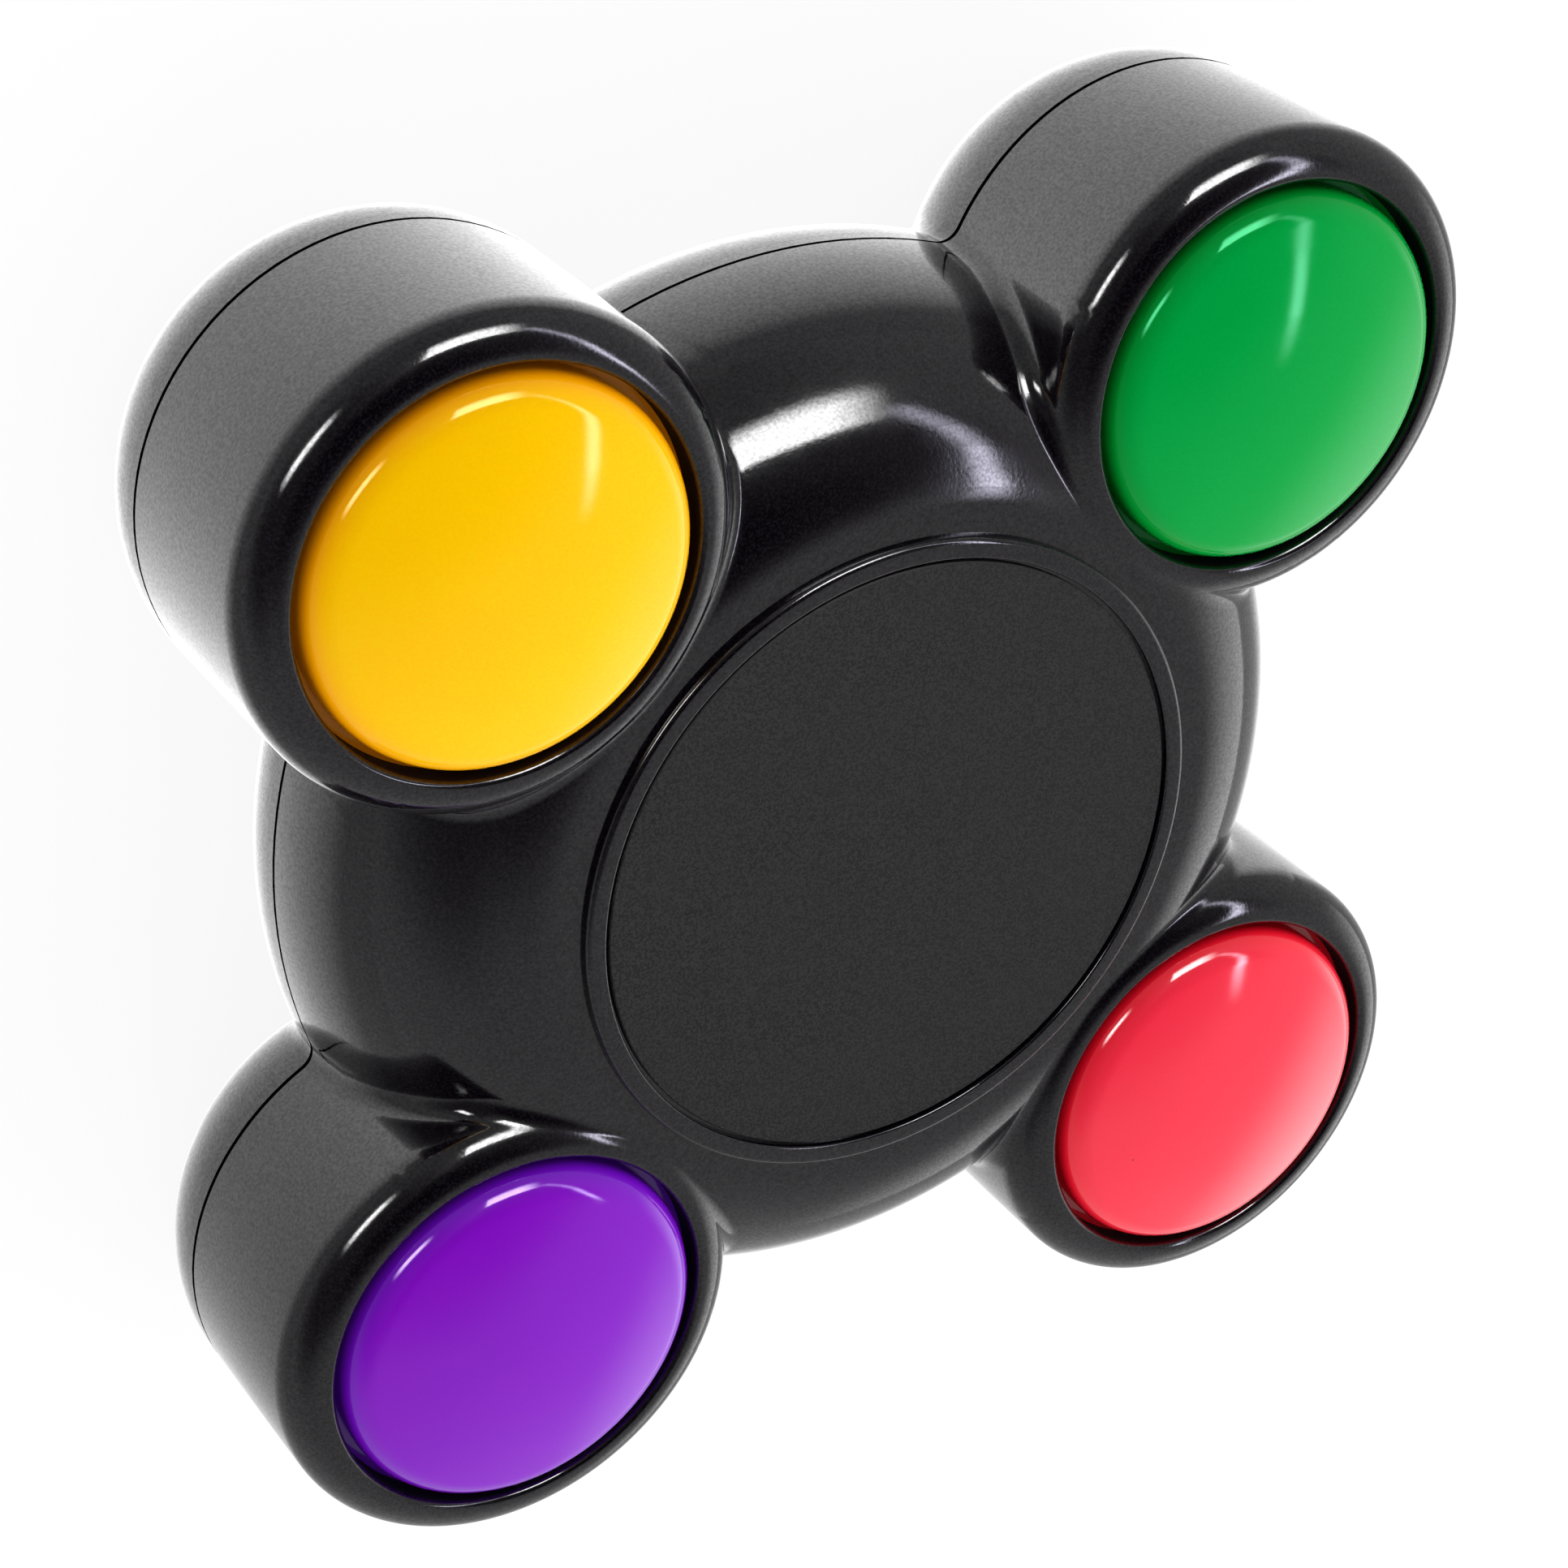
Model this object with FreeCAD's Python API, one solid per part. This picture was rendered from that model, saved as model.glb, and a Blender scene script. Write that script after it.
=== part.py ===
"""Electronic memory game: a disc with four pods, each with a lit push cap.

The game lies on its back. The origin is the middle of the back face, +Z points out of
the face, and the yellow and green caps are on the +Y side. Sizes are in millimetres.
"""
import FreeCAD, Part
import math
import os

from FreeCAD import Vector

# Housing, outside
POD_PITCH = 44.5          # middle of the game to the axis of a pod
POD_R = 18.5
DISC_R = 41.6
BACK_DEPTH = 11.6         # back face to the parting line
BACK_ROUND = 10.6         # edge of the back, on the disc and on the pods
POD_RISE = 17.7           # parting line to the top of a pod's rim
POD_ROUND = 3.1           # outer edge of a pod's rim
DISC_RISE = 17.3          # parting line to the land round the ring
DISC_LAND_R = 27.2        # where the land ends and the disc rounds down
RING_INNER_R = 24.2
RING_OUTER_R = 25.8
RING_RISE = 0.7           # ring above the land
RING_EDGE = 0.45          # outer edge of the ring
RING_INNER_EDGE = 0.2
VALLEY_ROUND = 1.6        # where a pod meets the disc
WALL = 2.2
RIM_MOUTH = 0.5           # rounded mouth of a cap's hole
LABEL_T = 0.4
LABEL_BELOW_RING = 0.2
LABEL_PLAY = 0.3
LABEL_EDGE = 0.1

# Joint between the two shells
LIP_INSET = 1.2           # tongue of the back shell, in from the outline
LIP_T = 1.0
LIP_H = 1.3
LIP_PLAY = 0.12
SHADOW_GAP = 0.2          # groove along the parting line
SHADOW_DEPTH = 0.5

# Caps and what is under them
CAP_R = 14.35
CAP_GAP = 0.65            # round the cap, in the rim
CAP_SHOULDER = 2.7
CAP_DOME_R = 45.0
CAP_SHOULDER_BELOW_RIM = 1.3
CAP_SKIRT_R = 15.9
CAP_SKIRT_WALL = 1.3
CAP_SKIRT_H = 6.2
CAP_WALL = 1.8
CAP_POST_R = 2.2
CAP_RIB_T = 1.0
CAP_RIB_L = 10.0
CAP_TRAVEL = 1.5
RIM_THICK = 2.3
COLLAR_WALL = 1.5
SPRING_R = 9.9
SPRING_WIRE_R = 0.35
SPRING_TURNS = 5
SWITCH_SIDE = 6.0
SWITCH_H = 3.5
SWITCH_BORE_H = 1.2
PLUNGER_R = 1.75
PLUNGER_H = 5.4           # board to the plunger's top
PLUNGER_TRAVEL = 0.25
LAMP_R = 2.5
LAMP_H = 8.6
LAMP_OFFSET = 6.3

# Board
BOARD_Z = 17.0
BOARD_T = 1.6
BOARD_R = 34.0
LOBE_R = 11.8
NECK_W = 12.0
BOARD_SCREW_PITCH = 30.0
BOARD_SCREW_R = 1.0
BOARD_POST_R = 2.6
BOARD_POST_TOP_Z = 26.0       # inside the roof of the front shell
HOLE_PLAY = 0.3               # round a screw's shank where it passes through
THREAD_PLAY = 0.05            # round its shank where it bites

# What is on the board
CHIP_R = 6.0
CHIP_H = 1.5
RESISTOR_COUNT = 7
RESISTOR_PITCH = 4.0
RESISTOR_X = -12.0            # first of the row
RESISTOR_Y = 12.0
RESISTOR_W = 1.6
RESISTOR_L = 3.2
RESISTOR_H = 0.6
DRIVER_OFFSET = 22.0          # middle of the game to each lamp driver
DRIVER_L = 3.0
DRIVER_W = 1.8
DRIVER_H = 1.1
CAN_R = 2.5
CAN_H = 5.6
CAN_X = 14.0
CAN_Y = -6.0

# Screws
HOUSING_SCREW_OFFSET = 13.6   # pod's axis to its screw, outwards
HOUSING_SCREW_SEAT_Z = 6.2
HOUSING_SCREW_R = 1.3
HOUSING_SCREW_TIP_Z = 17.6
HOUSING_SCREW_HEAD_R = 2.3
HOUSING_SCREW_HEAD_H = 1.7
HOUSING_WELL_R = 2.6
HOUSING_POST_R = 3.5          # post of the back shell
FRONT_POST_R = 2.9            # post of the front shell
POST_WEB = 3.0                # width of a post's web to the wall
BOARD_SCREW_HEAD_R = 2.1
BOARD_SCREW_HEAD_H = 1.4
BOARD_SCREW_L = 6.5
DOOR_SCREW_HEAD_R = 2.1
DOOR_SCREW_HEAD_H = 0.8
DOOR_SCREW_R = 1.1
DOOR_SCREW_L = 6.0

# Battery bay: two cells side by side, lying along X
CELL_R = 5.2
CELL_LENGTH = 44.5
CELL_NUB_R = 1.9
CELL_NUB_H = 0.9
BAY_LENGTH = 48.2
BAY_WIDTH = 22.0
BAY_MID_Y = -6.5
BAY_ROOF_Z = 13.1
BAY_WALL = 1.5
DOOR_T = 1.6
DOOR_SINK = 0.2           # door below the back face
DOOR_GAP = 0.25
DOOR_LIP = 1.2            # door past the bay on each side
DOOR_EAR_R = 4.0
DOOR_SCREW_X = 28.2
DOOR_SCREW_SEAT_Z = 1.1
DOOR_CORNER = 1.5
DOOR_BOSS_R = 3.0
DOOR_BOSS_TOP_Z = 9.0
TAB_W = 2.4
TAB_T = 1.0
TAB_REACH = 1.4
CONTACT_T = 0.4
CONTACT_HALF = 3.6        # half the side of a contact plate
DIMPLE_H = 0.5
LUG_W = 1.8
CONTACT_SPRING_R = 2.9
CONTACT_WIRE_R = 0.3
LEAD_R = 0.45

# Loudspeaker
SPEAKER_R = 13.4
SPEAKER_Y = 20.5
SPEAKER_SEAT_Z = 3.2
SPEAKER_H = 6.6
GRILLE_HOLE_R = 0.8
GRILLE_STEP = 3.2

# Power switch
POWER_Y = -26.0
KNOB_TRAVEL = 3.0
KNOB_L = 4.4
KNOB_W = 2.8
POWER_DISH_L = 13.0
POWER_DISH_W = 6.4
POWER_DISH_DEPTH = 1.2
POWER_PAD_L = 18.0
POWER_PAD_W = 7.8
POWER_PAD_T = 0.8
POWER_EAR_X = 6.4         # middle of the switch to its screws
POWER_POST_R = 1.7
POWER_BODY_L = 8.6
POWER_BODY_W = 4.4
POWER_BODY_H = 3.6
POWER_SHEET = 0.4
POWER_SCREW_R = 0.7
KNOB_STEM_L = 2.4
KNOB_STEM_W = 1.6
KNOB_PLATE_T = 0.9
LEVER_HALF = 0.75

PODS = {"yellow": (-1, 1), "green": (1, 1), "purple": (-1, -1), "red": (1, -1)}

# Worked out from the sizes above
PARTING_Z = BACK_DEPTH
RIM_Z = PARTING_Z + POD_RISE
LAND_Z = PARTING_Z + DISC_RISE
RING_Z = LAND_Z + RING_RISE
LABEL_Z = RING_Z - LABEL_BELOW_RING
LABEL_SEAT_Z = LABEL_Z - LABEL_T
SEAT_Z = RIM_Z - RIM_THICK
BOARD_TOP_Z = BOARD_Z + BOARD_T
FLOOR_Z = WALL
HALF_PITCH = POD_PITCH / math.sqrt(2)
HOUSING_SCREW_X = POD_PITCH + HOUSING_SCREW_OFFSET
SHOULDER_Z = RIM_Z - CAP_SHOULDER_BELOW_RIM
DOME_EDGE_R = CAP_R - CAP_SHOULDER
DOME_EDGE_ANGLE = math.degrees(math.asin(DOME_EDGE_R / (CAP_DOME_R - CAP_SHOULDER)))
DOME_CENTRE_Z = SHOULDER_Z - (CAP_DOME_R - CAP_SHOULDER) * math.cos(math.radians(DOME_EDGE_ANGLE))
SKIRT_TOP_Z = SEAT_Z - 0.1
SKIRT_FOOT_Z = SKIRT_TOP_Z - CAP_SKIRT_H
POST_FOOT_Z = BOARD_TOP_Z + PLUNGER_H + CAP_TRAVEL - PLUNGER_TRAVEL + 0.05
DOOR_TOP_Z = DOOR_SINK + DOOR_T
DOOR_END_X = -(BAY_LENGTH / 2 + DOOR_LIP)
TAB_Z = FLOOR_Z + 0.15
CONTACT_X = BAY_LENGTH / 2 - 0.05
CELL_OFFSET_Y = BAY_WIDTH / 4 - 0.1
CELL_Z = DOOR_TOP_Z + 0.35 + CELL_R
CELL_SHIFT_X = CONTACT_X - CONTACT_T - DIMPLE_H - CELL_LENGTH / 2
POSITIVE_Y = BAY_MID_Y + CELL_OFFSET_Y
NEGATIVE_Y = BAY_MID_Y - CELL_OFFSET_Y
CONE_EDGE_R = SPEAKER_R - 1.2
BASKET_BACK_Z = SPEAKER_SEAT_Z + 3.4
KNOB_PLATE_Z = FLOOR_Z + 0.9
KNOB_REST_X = -KNOB_TRAVEL / 2
POWER_BODY_Z = KNOB_PLATE_Z + 2.1
UP = Vector(0, 0, 1)

# How the shapes are cut
REACH = 60.0              # half of a block wider than the game
PAST = 1.0                # how far a cutter runs past a face
BITE = 0.2                # how far a wall runs into what it stands on
COIL_STEPS = 12           # points on the middle line of a spring, in a turn


# Shapes made by turning, and other small helpers

def arc_point(centre_r, centre_z, radius, degrees):
    """Point on a circle in the profile plane; 0 degrees points outwards, 90 up."""
    angle = math.radians(degrees)
    return (centre_r + radius * math.cos(angle), centre_z + radius * math.sin(angle))


def round_step(centre_r, centre_z, radius, first, last):
    """Profile step round a circle from one angle to another."""
    middle = arc_point(centre_r, centre_z, radius, (first + last) / 2)
    return (middle, arc_point(centre_r, centre_z, radius, last))


def profile_face(start, steps):
    """Closed face in the XZ plane; a step is a point, or a middle and an end of an arc."""
    edges = []
    here = start
    for step in list(steps) + [start]:
        if isinstance(step[0], tuple):
            middle, end = step
            points = [Vector(x, 0, z) for x, z in (here, middle, end)]
            edges.append(Part.Arc(*points).toShape())
        else:
            end = step
            if math.dist(here, end) > 1e-6:
                ends = [Vector(x, 0, z) for x, z in (here, end)]
                edges.append(Part.LineSegment(*ends).toShape())
        here = end
    return Part.Face(Part.Wire(edges))


def turned(start, *steps):
    return profile_face(start, steps).revolve(Vector(0, 0, 0), UP, 360)


def rod(radius, low, high, x=0.0, y=0.0):
    return Part.makeCylinder(radius, high - low, Vector(x, y, low), UP)


def tube(outer, inner, low, high, x=0.0, y=0.0):
    return rod(outer, low, high, x, y).cut(rod(inner, low - PAST, high + PAST, x, y))


def block(x0, x1, y0, y1, z0, z1):
    return Part.makeBox(x1 - x0, y1 - y0, z1 - z0, Vector(x0, y0, z0))


def layer(z0, z1):
    """Flat block wider than the game."""
    return block(-REACH, REACH, -REACH, REACH, z0, z1)


def slab(mid_x, mid_y, length, width, z0, z1, corner):
    """Flat block with rounded upright edges."""
    shape = block(mid_x - length / 2, mid_x + length / 2, mid_y - width / 2, mid_y + width / 2, z0, z1)
    upright = [edge for edge in shape.Edges if abs(edge.tangentAt(edge.FirstParameter).z) > 0.9]
    return shape.makeFillet(corner, upright)


def moved(shape, x, y, z=0.0):
    copy = shape.copy()
    copy.translate(Vector(x, y, z))
    return copy


def at_pod(shape, side):
    return moved(shape, side[0] * HALF_PITCH, side[1] * HALF_PITCH)


def turned_to_pod(shape, side):
    """A shape made on the +X axis, swung to a pod's diagonal."""
    copy = shape.copy()
    copy.rotate(Vector(0, 0, 0), UP, math.degrees(math.atan2(side[1], side[0])))
    return copy


def coil(mean_r, wire_r, turns, low, high):
    """Helical spring about the Z axis, with the middle of the wire from low to high."""
    count = COIL_STEPS * turns
    points = []
    for step in range(count + 1):
        angle = 2 * math.pi * step / COIL_STEPS
        rise = (high - low) * step / count
        points.append(Vector(mean_r * math.cos(angle), mean_r * math.sin(angle), low + rise))
    curve = Part.BSplineCurve()
    curve.interpolate(points)
    middle = curve.toShape()
    ring = Part.Wire(Part.makeCircle(wire_r, points[0], middle.tangentAt(middle.FirstParameter)))
    return Part.Wire(middle).makePipeShell([ring], True, True)


def bent_wire(points, wire_r):
    """Round wire along straight runs joined by arcs that touch them."""
    points = [Vector(*point) for point in points]
    edges = []
    here = points[0]
    for before, corner, after in zip(points, points[1:], points[2:]):
        back = before - corner
        ahead = after - corner
        reach = 0.45 * min(back.Length, ahead.Length)
        back.normalize()
        ahead.normalize()
        leave = corner + back * reach
        join = corner + ahead * reach
        half = math.acos(max(-1.0, min(1.0, back.dot(ahead)))) / 2
        radius = reach * math.tan(half)
        middle_way = back + ahead
        middle_way.normalize()
        centre = corner + middle_way * (reach / math.cos(half))
        edges.append(Part.LineSegment(here, leave).toShape())
        edges.append(Part.Arc(leave, centre - middle_way * radius, join).toShape())
        here = join
    edges.append(Part.LineSegment(here, points[-1]).toShape())
    ring = Part.Wire(Part.makeCircle(wire_r, points[0], points[1] - points[0]))
    return Part.Wire(edges).makePipeShell([ring], True, True)


def screw(head_r, head_h, shank_r, seat_z, tip_z, x, y):
    """Pan-head screw pointing up, with a cross cut in its head below the seat."""
    bottom = seat_z - head_h
    edge = 0.35 * head_h
    body = turned((0, bottom), (head_r - edge, bottom),
                  round_step(head_r - edge, bottom + edge, edge, -90, 0),
                  (head_r, seat_z), (shank_r, seat_z), (shank_r, tip_z - shank_r), (0.25, tip_z), (0, tip_z))
    arm = 0.62 * head_r
    slot = 0.13 * head_r
    for half_x, half_y in ((arm, slot), (slot, arm)):
        body = body.cut(block(-half_x, half_x, -half_y, half_y, bottom - PAST, bottom + 0.55 * head_h))
    return moved(body, x, y)


# Outer form of the two shells; inset gives the inner faces of their walls

def front_disc(inset):
    """Disc above the parting line: an upright ellipse quarter up to a flat land."""
    reach = DISC_R - DISC_LAND_R - inset
    rise = DISC_RISE - inset
    centre = Vector(DISC_LAND_R, 0, PARTING_Z)
    quarter = math.pi / 2
    if rise > reach:
        ellipse = Part.Ellipse(centre + Vector(0, 0, rise), centre + Vector(reach, 0, 0), centre)
    else:
        ellipse = Part.Ellipse(centre + Vector(reach, 0, 0), centre + Vector(0, 0, rise), centre)
    first = ellipse.parameter(centre + Vector(reach, 0, 0))
    last = ellipse.parameter(centre + Vector(0, 0, rise))
    if abs(last - first) > quarter + 0.1:
        first, last = last, first + 2 * math.pi
    low, high = sorted((first, last))
    curve = Part.ArcOfEllipse(ellipse, low, high).toShape()
    foot = Vector(0, 0, PARTING_Z)
    rim = centre + Vector(reach, 0, 0)
    crest = centre + Vector(0, 0, rise)
    top = Vector(0, 0, PARTING_Z + rise)
    sides = [Part.LineSegment(a, b).toShape() for a, b in ((crest, top), (top, foot), (foot, rim))]
    face = Part.Face(Part.Wire(Part.__sortEdges__([curve] + sides)))
    return face.revolve(Vector(0, 0, 0), UP, 360)


def front_pod():
    edge_r = POD_R - POD_ROUND
    edge_z = RIM_Z - POD_ROUND
    return turned((0, PARTING_Z), (POD_R, PARTING_Z), (POD_R, edge_z),
                  round_step(edge_r, edge_z, POD_ROUND, 0, 90), (0, RIM_Z))


def back_bowl(radius, inset):
    """Round shell below the parting line with a rounded edge at the back."""
    edge = BACK_ROUND - inset
    outer = radius - inset
    return turned((0, inset), (outer - edge, inset), round_step(outer - edge, inset + edge, edge, -90, 0),
                  (outer, PARTING_Z), (0, PARTING_Z))


def outline(inset, low, high):
    """Upright prism of the game's outline, the disc and its pods."""
    disc = rod(DISC_R - inset, low, high)
    pods = [at_pod(rod(POD_R - inset, low, high), side) for side in PODS.values()]
    return disc.fuse(pods).removeSplitter()


def valley_edges(shape, low, high):
    """Edges where a pod's wall runs into the disc."""
    found = []
    for edge in shape.Edges:
        box = edge.BoundBox
        middle = edge.valueAt((edge.FirstParameter + edge.LastParameter) / 2)
        if not low - 1e-3 <= box.ZMin or not box.ZMax <= high + 1e-3 or box.ZLength < 0.05:
            continue
        from_pods = [math.hypot(middle.x - side[0] * HALF_PITCH, middle.y - side[1] * HALF_PITCH)
                     for side in PODS.values()]
        between = DISC_LAND_R - 2 < math.hypot(middle.x, middle.y) < DISC_R + 0.01
        if between and min(from_pods) < POD_R + 0.01 and not is_seam(edge):
            found.append(edge)
    return found


def is_seam(edge):
    """A turned face's own seam lies in a plane through its axis."""
    ends = [edge.valueAt(edge.FirstParameter), edge.valueAt(edge.LastParameter)]
    on_disc_plane = all(abs(point.y) < 1e-6 for point in ends)
    on_pod_plane = all(abs(abs(point.y) - HALF_PITCH) < 1e-6 for point in ends)
    return on_disc_plane or on_pod_plane


def with_valleys(shape, low, high):
    return shape.makeFillet(VALLEY_ROUND, valley_edges(shape, low, high))


def front_form():
    pods = [at_pod(front_pod(), side) for side in PODS.values()]
    return with_valleys(front_disc(0).fuse(pods).removeSplitter(), PARTING_Z, RIM_Z)


def back_form():
    pods = [at_pod(back_bowl(POD_R, 0), side) for side in PODS.values()]
    return with_valleys(back_bowl(DISC_R, 0).fuse(pods).removeSplitter(), 0, PARTING_Z)


# Housing

def lip():
    """Tongue on the back shell that enters the front shell."""
    low = PARTING_Z - 1.0
    high = PARTING_Z + LIP_H
    return outline(LIP_INSET, low, high).cut(outline(LIP_INSET + LIP_T, low - PAST, high + PAST))


def lip_groove():
    """Room for the tongue in the edge of the front shell."""
    low = PARTING_Z - PAST
    high = PARTING_Z + LIP_H + LIP_PLAY
    inside = outline(LIP_INSET + LIP_T + LIP_PLAY, low - PAST, high + PAST)
    return outline(LIP_INSET - LIP_PLAY, low, high).cut(inside)


def shadow_groove():
    """Shallow groove round the game along the parting line."""
    low = PARTING_Z - PAST
    high = PARTING_Z + SHADOW_GAP
    return layer(low, high).cut(outline(SHADOW_DEPTH, low - PAST, high + PAST))


def ring():
    """Raised ring on the land, round the seat of the label."""
    inner_edge = RING_INNER_R + RING_INNER_EDGE
    outer_edge = RING_OUTER_R - RING_EDGE
    foot_z = LAND_Z - 1.0
    return turned((0, foot_z), (RING_OUTER_R, foot_z), (RING_OUTER_R, RING_Z - RING_EDGE),
                  round_step(outer_edge, RING_Z - RING_EDGE, RING_EDGE, 0, 90), (inner_edge, RING_Z),
                  round_step(inner_edge, RING_Z - RING_INNER_EDGE, RING_INNER_EDGE, 90, 180),
                  (RING_INNER_R, LABEL_SEAT_Z), (0, LABEL_SEAT_Z))


def cap_well():
    """Room for a cap: the hole in the rim with a rounded mouth, and the bore below."""
    hole = CAP_R + CAP_GAP
    bore = POD_R - WALL
    lip_z = RIM_Z - RIM_MOUTH
    return turned((0, BOARD_TOP_Z), (bore, BOARD_TOP_Z), (bore, SEAT_Z), (hole, SEAT_Z), (hole, lip_z),
                  round_step(hole + RIM_MOUTH, lip_z, RIM_MOUTH, 180, 90), (hole + RIM_MOUTH, RIM_Z + PAST),
                  (0, RIM_Z + PAST))


def screw_post(radius, hole_r, low, high):
    """Post at a pod's screw, on the +X axis, with a web to the pod's wall."""
    x = HOUSING_SCREW_X
    wall_x = POD_PITCH + POD_R - WALL / 2
    post = rod(radius, low, high, x).fuse(block(x, wall_x, -POST_WEB / 2, POST_WEB / 2, low, high))
    return post.cut(rod(hole_r, low - PAST, high + PAST, x))


def front_housing():
    shell = front_form().fuse(ring())
    pod_room = rod(POD_R - WALL, PARTING_Z - PAST, SEAT_Z)
    shell = shell.cut([front_disc(WALL)] + [at_pod(pod_room, side) for side in PODS.values()])
    collar = tube(POD_R - WALL + COLLAR_WALL, POD_R - WALL, BOARD_TOP_Z + 0.8, SEAT_Z + 0.3)
    post = screw_post(FRONT_POST_R, HOUSING_SCREW_R + THREAD_PLAY, PARTING_Z + 1.6, BOARD_TOP_Z + 0.3)
    added = [at_pod(collar, side) for side in PODS.values()]
    added += [turned_to_pod(post, side) for side in PODS.values()]
    for x, y in board_screw_places():
        added.append(tube(BOARD_POST_R, BOARD_SCREW_R + THREAD_PLAY, BOARD_TOP_Z, BOARD_POST_TOP_Z, x, y))
    shell = shell.fuse(added)
    removed = [at_pod(cap_well(), side) for side in PODS.values()]
    removed += [lip_groove(), shadow_groove()]
    return shell.cut(removed).removeSplitter()


def board_screw_places():
    return [(BOARD_SCREW_PITCH, 0), (-BOARD_SCREW_PITCH, 0), (0, BOARD_SCREW_PITCH), (0, -BOARD_SCREW_PITCH)]


def door_plate(grow, low, high):
    """Outline of the battery door: a rounded plate with an ear for its screw."""
    border = 2 * (DOOR_LIP + grow)
    plate = slab(0, BAY_MID_Y, BAY_LENGTH + border, BAY_WIDTH + border, low, high, DOOR_CORNER)
    ear = rod(DOOR_EAR_R + grow, low, high, DOOR_SCREW_X, BAY_MID_Y)
    return plate.fuse(ear).removeSplitter()


def grille_holes():
    places = [(0.0, 0.0)]
    for ring_number in (1, 2):
        count = 6 * ring_number
        for step in range(count):
            angle = 2 * math.pi * step / count
            places.append((ring_number * GRILLE_STEP * math.cos(angle),
                           ring_number * GRILLE_STEP * math.sin(angle)))
    return [rod(GRILLE_HOLE_R, -PAST, FLOOR_Z + PAST, x, SPEAKER_Y + y) for x, y in places]


def bay_block(grow, low, high):
    """The battery bay's room, grown by the same amount on its four sides."""
    half_x = BAY_LENGTH / 2 + grow
    half_y = BAY_WIDTH / 2 + grow
    return block(-half_x, half_x, BAY_MID_Y - half_y, BAY_MID_Y + half_y, low, high)


def tab_pocket():
    """Pocket in the floor's inner side that holds the door's tab and lets it swing out."""
    half_y = TAB_W / 2 + 0.4
    room = block(DOOR_END_X - TAB_REACH - 1.2, -BAY_LENGTH / 2 + 0.1, BAY_MID_Y - half_y, BAY_MID_Y + half_y,
                 DOOR_TOP_Z, TAB_Z + TAB_T + 1.6)
    floor_left = block(-REACH, DOOR_END_X - 0.3, BAY_MID_Y - TAB_W, BAY_MID_Y + TAB_W, 0, FLOOR_Z)
    return room.cut(floor_left)


def rear_supports():
    """What stands on the inside of the back shell."""
    foot_z = FLOOR_Z - BITE
    supports = [lip(), bay_block(BAY_WALL, foot_z, BAY_ROOF_Z + BAY_WALL)]
    supports.append(tube(SPEAKER_R + 1.3, SPEAKER_R + 0.15, foot_z, SPEAKER_SEAT_Z + 2.6, 0, SPEAKER_Y))
    supports.append(tube(SPEAKER_R + 0.5, SPEAKER_R - 1.2, foot_z, SPEAKER_SEAT_Z, 0, SPEAKER_Y))
    supports.append(slab(0, POWER_Y, POWER_PAD_L, POWER_PAD_W, foot_z, FLOOR_Z + POWER_PAD_T, 1.0))
    supports.append(rod(DOOR_BOSS_R, foot_z, DOOR_BOSS_TOP_Z, DOOR_SCREW_X, BAY_MID_Y))
    for side in (-1, 1):
        supports.append(rod(POWER_POST_R, FLOOR_Z, POWER_BODY_Z, side * POWER_EAR_X, POWER_Y))
    post = screw_post(HOUSING_POST_R, HOUSING_SCREW_R + HOLE_PLAY, 1.0, PARTING_Z + 1.4)
    prop = tube(HOUSING_POST_R, 2.0, foot_z, BOARD_Z)
    for side in PODS.values():
        supports += [turned_to_pod(post, side), at_pod(prop, side)]
    return supports


def rear_openings():
    """What is cut out of the back shell."""
    well = rod(HOUSING_WELL_R, -PAST, HOUSING_SCREW_SEAT_Z, HOUSING_SCREW_X)
    shank = rod(HOUSING_SCREW_R + HOLE_PLAY, 0, BOARD_Z, HOUSING_SCREW_X)
    openings = [turned_to_pod(well.fuse(shank), side) for side in PODS.values()]
    openings.append(bay_block(0, -PAST, BAY_ROOF_Z))
    openings.append(door_plate(DOOR_GAP, -PAST, DOOR_TOP_Z + 0.1))
    openings.append(tab_pocket())
    openings.append(rod(DOOR_BOSS_R - 0.95, 0, DOOR_BOSS_TOP_Z - 1.0, DOOR_SCREW_X, BAY_MID_Y))
    openings += grille_holes()
    openings.append(slab(0, POWER_Y, POWER_DISH_L, POWER_DISH_W, -PAST, POWER_DISH_DEPTH, 1.5))
    slot_half_x = (KNOB_STEM_L + KNOB_TRAVEL) / 2 + 0.3
    slot_half_y = KNOB_STEM_W / 2 + 0.15
    openings.append(block(-slot_half_x, slot_half_x, POWER_Y - slot_half_y, POWER_Y + slot_half_y,
                          0, FLOOR_Z + POWER_PAD_T + PAST))
    for x in (-POWER_EAR_X, POWER_EAR_X):
        openings.append(rod(POWER_SCREW_R + THREAD_PLAY, FLOOR_Z, POWER_BODY_Z + PAST, x, POWER_Y))
    lug_x = -(CONTACT_X - CONTACT_T / 2)
    half_y = LUG_W / 2 + 0.3
    for y in (POSITIVE_Y, NEGATIVE_Y):
        openings.append(block(lug_x - 0.35, lug_x + 0.35, y - half_y, y + half_y,
                              BAY_ROOF_Z - 0.5, BAY_ROOF_Z + BAY_WALL + PAST))
    return openings


def rear_housing():
    room = back_bowl(DISC_R, WALL).fuse([at_pod(back_bowl(POD_R, WALL), side) for side in PODS.values()])
    allowed = back_form().fuse(outline(WALL / 2, PARTING_Z - 0.5, BOARD_Z + PAST))
    shell = back_form().cut(room).fuse(rear_supports()).common(allowed)
    return shell.cut(rear_openings()).removeSplitter()


def centre_label():
    """Thin disc with a fine bevel round its face, on the seat inside the ring."""
    radius = RING_INNER_R - LABEL_PLAY
    return turned((0, LABEL_SEAT_Z), (radius, LABEL_SEAT_Z), (radius, LABEL_Z - LABEL_EDGE),
                  (radius - LABEL_EDGE, LABEL_Z), (0, LABEL_Z))


# Caps, springs, switches and lamps

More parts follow.
